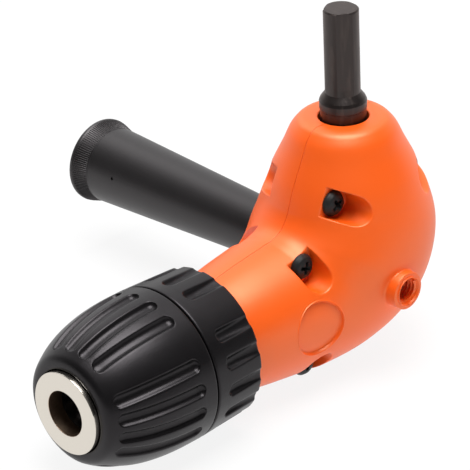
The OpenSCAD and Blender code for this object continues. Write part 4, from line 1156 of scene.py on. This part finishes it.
class OBJECT_OT_shank(bpy.types.Operator):
    """Builds the shank with its three flats and collar"""

    bl_idname = "drill.shank"
    bl_label = "Shank"

    def execute(self, context):
        sizes = context.scene.drill_shank
        round_r, tip, collar = sizes.radius / MM, sizes.tip / MM, sizes.collar_radius / MM
        outline = eased((*JOURNAL, (collar - 0.15, 33.3, 0.1), (collar - 0.15, 40.35, 0.05),
                         (collar, 40.55, 0.12), (collar, 42.2, 0.12), (5.05, 42.9, 0.3),
                         (round_r, 44.3, 0.06), (round_r, tip - 0.3, 0.08), (round_r - 0.3, tip, 0.08),
                         (0, tip, 0)), 6)
        outline = resampled(outline, 1.2, (44.2, 46.2, 0.1))
        deep = sizes.flat_depth / MM
        reach, near = math.degrees(math.acos(1 - deep / round_r)), 0.8
        across = (-reach - near, -reach, -reach + near, -18, -6, 6, 18, reach - near, reach, reach + near)
        angles = []
        for flat in FLATS:
            angles += [flat + offset for offset in across]
            angles += list(numpy.linspace(flat + reach + near, flat + 120 - reach - near, 14)[1:-1])
        offs = [min(abs((a - flat + 180) % 360 - 180) for flat in FLATS) for a in angles]

        def flatted(radius, z, k):
            sunk = deep * min(1.0, max(0.0, (z - FLAT_HEIGHT - 0.1) / 0.45)) ** 0.6
            flat_radius = (round_r - sunk) / math.cos(math.radians(min(offs[k], 60)))
            return min(radius, flat_radius) if z > FLAT_HEIGHT else radius

        points, faces = spun(outline, [math.radians(a) for a in angles], flatted)
        dress(solid("shank_black", points, faces, crease=24), "input_drive", "black_oxide", "input_shaft")
        return {"FINISHED"}


class OBJECT_OT_screws(bpy.types.Operator):
    """Builds one cross-recessed pan head screw and sets it on the four seats"""

    bl_idname = "drill.screws"
    bl_label = "Housing screws"

    def execute(self, context):
        points, faces = spun(eased(SCREW_OUTLINE, 6), even(64))
        screw = solid("screws_black", points, faces, local=True)
        wing = [(side * long, edge * thick, z) for z, long, thick in DRIVER_WING
                for side, edge in ((-1, -1), (1, -1), (1, 1), (-1, 1))]
        sides = [[0, 1, 2, 3], [4, 5, 6, 7], [0, 1, 5, 4], [1, 2, 6, 5], [2, 3, 7, 6], [3, 0, 4, 7]]
        for turn in (0, 90):
            cutter = solid("driver", wing, sides, local=True)
            cutter.data.transform(Matrix.Rotation(math.radians(turn), 4, "Z"))
            carve(screw, cutter)
        tidy(screw.data, 32)
        bench, wires = open_tree("Screws on their seats", Seats="Object")
        seats = bench.node("GeometryNodeObjectInfo", {"transform_space": "ORIGINAL"},
                           {"Object": wires["Seats"]}, out=4)
        chance = bench.node("FunctionNodeRandomValue", {"data_type": "FLOAT"},
                            {"Min": 0.0, "Max": 1.57, "Seed": 11}, out=1)
        tilt = bench.node("ShaderNodeCombineXYZ", None, {"X": -math.pi / 2})
        laid = bench.node("GeometryNodeInstanceOnPoints", None,
                          {"Points": seats, "Instance": wires["Geometry"], "Rotation": tilt})
        spin = bench.node("ShaderNodeCombineXYZ", None, {"Z": chance})
        spun_about = bench.node("GeometryNodeRotateInstances", None,
                                {"Instances": laid, "Rotation": spin, "Local Space": True})
        tree = closed_tree(bench, wires, spun_about)
        marker = bpy.data.meshes.new("seats")
        marker.from_pydata(in_frame([(x, floor, z) for x, z, _, floor in SCREW_SEATS]).tolist(), [], [])
        holder = linked("seats", marker)
        grown(screw, tree, seats=holder, material=finishes()["screw_black"])
        bpy.data.objects.remove(holder)
        tidy(screw.data, 32, 0)
        dress(screw, "housing", "screw_black", "housing_screws")
        return {"FINISHED"}


class OBJECT_OT_boss_thread(bpy.types.Operator):
    """Builds the thread inside the free boss"""

    bl_idname = "drill.boss_thread"
    bl_label = "Boss thread"

    def execute(self, context):
        bench, wires = open_tree("Thread ridge", Radius="Float", Pitch="Float", Turns="Float")
        path = bench.node("GeometryNodeCurveSpiral", None, {
            "Resolution": 48, "Rotations": wires["Turns"], "Start Radius": wires["Radius"],
            "End Radius": wires["Radius"], "Height": wires["Turns"] * wires["Pitch"]})
        upright = bench.node("GeometryNodeSetCurveNormal", {"mode": "Z_UP"}, {0: path})
        section = bench.node("GeometryNodeCurvePrimitiveCircle", {"mode": "RADIUS"},
                             {"Resolution": 3, "Radius": wires["Pitch"] * 0.42})
        ridge = bench.node("GeometryNodeCurveToMesh", None,
                           {"Curve": upright, "Profile Curve": section, "Fill Caps": True})
        thread = solid("boss_thread", [(0, 0, 0), (1, 0, 0), (0, 1, 0)], [[0, 1, 2]], local=True)
        grown(thread, closed_tree(bench, wires, ridge), radius=THREAD_RADIUS * MM, pitch=THREAD_PITCH * MM,
              turns=THREAD_TURNS, material=finishes()["body_plastic"])
        moved(thread, lambda p: numpy.column_stack(
            (BOSS_PLACE[0] + p[:, 0], THREAD_START + p[:, 2], BOSS_PLACE[1] + p[:, 1])))
        tidy(thread.data, 30, 0)
        dress(thread, "housing", "body_plastic")
        return {"FINISHED"}


class OBJECT_OT_inner_parts(bpy.types.Operator):
    """Gives the carried-over parts their finishes by record slot"""

    bl_idname = "drill.inner_parts"
    bl_label = "Inner parts"

    def execute(self, context):
        slots = {p["node"]: p["material_slot"] for p in frame["record"]["subparts"]}
        for name, node in frame["nodes"].items():
            node.data.materials.clear()
            node.data.materials.append(finishes()[slots[name]])
        return {"FINISHED"}


def softbox(name, place, aim, side, power):
    """A square lamp turned to a point, both in metres."""
    lamp = bpy.data.lights.new(name, "AREA")
    lamp.shape = "RECTANGLE"
    lamp.size = lamp.size_y = side
    lamp.energy = power
    holder = linked(name, lamp)
    holder.location = place
    holder.rotation_euler = (Vector(aim) - Vector(place)).to_track_quat("-Z", "Y").to_euler()


class OBJECT_OT_studio(bpy.types.Operator):
    """Builds the white floor, the surround, the softboxes and the camera"""

    bl_idname = "drill.studio"
    bl_label = "Studio"

    def execute(self, context):
        scene, sizes = context.scene, context.scene.drill_studio
        white_light = {"Color": (1, 1, 1, 1), "Strength": 1.0}

        # A floor that the camera sees as white with a soft shadow, and that reflects as white.
        bench_top = min(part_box("housing_near")[0].z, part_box("front_sleeve")[0].z) - 0.0002
        mesh = bpy.data.meshes.new("floor")
        half = 3.0
        corners = ((-half, -half), (half, -half), (half, half), (-half, half))
        mesh.from_pydata([(*corner, bench_top) for corner in corners], [], [[0, 1, 2, 3]])
        floor = linked("floor", mesh)
        material = bpy.data.materials.new("white table")
        bench = cleared(material)
        paper = bench.node("ShaderNodeBsdfDiffuse", None, {"Color": (0.9, 0.9, 0.9, 1)})
        white = bench.node("ShaderNodeEmission", None, white_light)
        eye = bench.node("ShaderNodeLightPath", out=0)
        shine = bench.node("ShaderNodeLightPath", out=3)
        seen = bench.node("ShaderNodeMixShader", None, {0: shine, 1: paper, 2: white})
        mixed = bench.node("ShaderNodeMixShader", None, {0: eye * 0.88, 1: seen, 2: white})
        bench.node("ShaderNodeOutputMaterial", None, {"Surface": mixed})
        mesh.materials.append(material)

        # A surround that is dim on the camera's side, a little brighter above and bright behind the object.
        scene.world = bpy.data.worlds.new("white tent")
        bench = cleared(scene.world)
        eye = bench.node("ShaderNodeLightPath", out=0)
        way = bench.node("ShaderNodeTexCoord", out=0)
        behind = bench.node("ShaderNodeVectorMath", {"operation": "DOT_PRODUCT"},
                            {0: way, 1: (-0.69, -0.72, 0.0)}, out=1)
        above = ((bench.part(way, 2) - 0.3) * 2.5).clamped() * 0.1
        glow = above + ((behind - 0.1) * 1.4).clamped() * 0.93 + sizes.sky
        tent = bench.node("ShaderNodeBackground", None, {"Color": (1, 1, 1, 1), "Strength": glow})
        page = bench.node("ShaderNodeBackground", None, white_light)
        mixed = bench.node("ShaderNodeMixShader", None, {0: eye, 1: tent, 2: page})
        bench.node("ShaderNodeOutputWorld", None, {"Surface": mixed})

        middle = (0.03, 0.0, -0.04)
        softbox("ceiling box", (0.03, 0.07, 0.6), middle, 0.46, 6.2)
        softbox("rear box", (-0.1, -0.56, 0.42), middle, 0.35, 0.5)

        camera = bpy.data.cameras.new("camera")
        camera.lens = sizes.lens
        camera.sensor_width = 36
        camera.clip_start = 0.05
        camera.clip_end = 50
        holder = linked("camera", camera)
        axes = (CAMERA_RIGHT, [-v for v in CAMERA_DOWN], [-v for v in CAMERA_AHEAD])
        holder.matrix_world = Matrix.Translation(CAMERA_PLACE) @ Matrix(axes).transposed().to_4x4()
        scene.camera = holder
        scene.view_settings.view_transform = "Standard"
        return {"FINISHED"}


STEPS = (OBJECT_OT_inner_parts, OBJECT_OT_shell_halves, OBJECT_OT_boss_thread, OBJECT_OT_screws,
         OBJECT_OT_sleeves, OBJECT_OT_nose_ring, OBJECT_OT_shank, OBJECT_OT_handle, OBJECT_OT_knurl,
         OBJECT_OT_studio)


class VIEW3D_PT_drill(bpy.types.Panel):
    """Lists the pieces of the drill attachment"""

    bl_label = "Drill attachment"
    bl_idname = "VIEW3D_PT_drill"
    bl_space_type = "VIEW_3D"
    bl_region_type = "UI"
    bl_category = "Drill attachment"

    def draw(self, context):
        for step in STEPS:
            self.layout.operator(step.bl_idname)
        for group in GROUPS:
            box = self.layout.box()
            settings = getattr(context.scene, group)
            for name in settings.__class__.__annotations__:
                box.prop(settings, name)


GROUPS = {"drill_shell": ShellSizes, "drill_chuck": ChuckSizes, "drill_handle": HandleSizes,
          "drill_shank": ShankSizes, "drill_finishes": Finishes, "drill_studio": StudioSettings}


def register():
    for kind in (*GROUPS.values(), *STEPS, VIEW3D_PT_drill):
        bpy.utils.register_class(kind)
    for name, kind in GROUPS.items():
        setattr(bpy.types.Scene, name, PointerProperty(type=kind))


def unregister():
    for name in GROUPS:
        delattr(bpy.types.Scene, name)
    for kind in reversed((*GROUPS.values(), *STEPS, VIEW3D_PT_drill)):
        bpy.utils.unregister_class(kind)


def main():
    """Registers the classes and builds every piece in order."""
    register()
    for step in STEPS:
        family, name = step.bl_idname.split(".")
        if getattr(getattr(bpy.ops, family), name)() != {"FINISHED"}:
            raise RuntimeError(f"{step.bl_label} was not built")


if __name__ == "__main__":
    main()
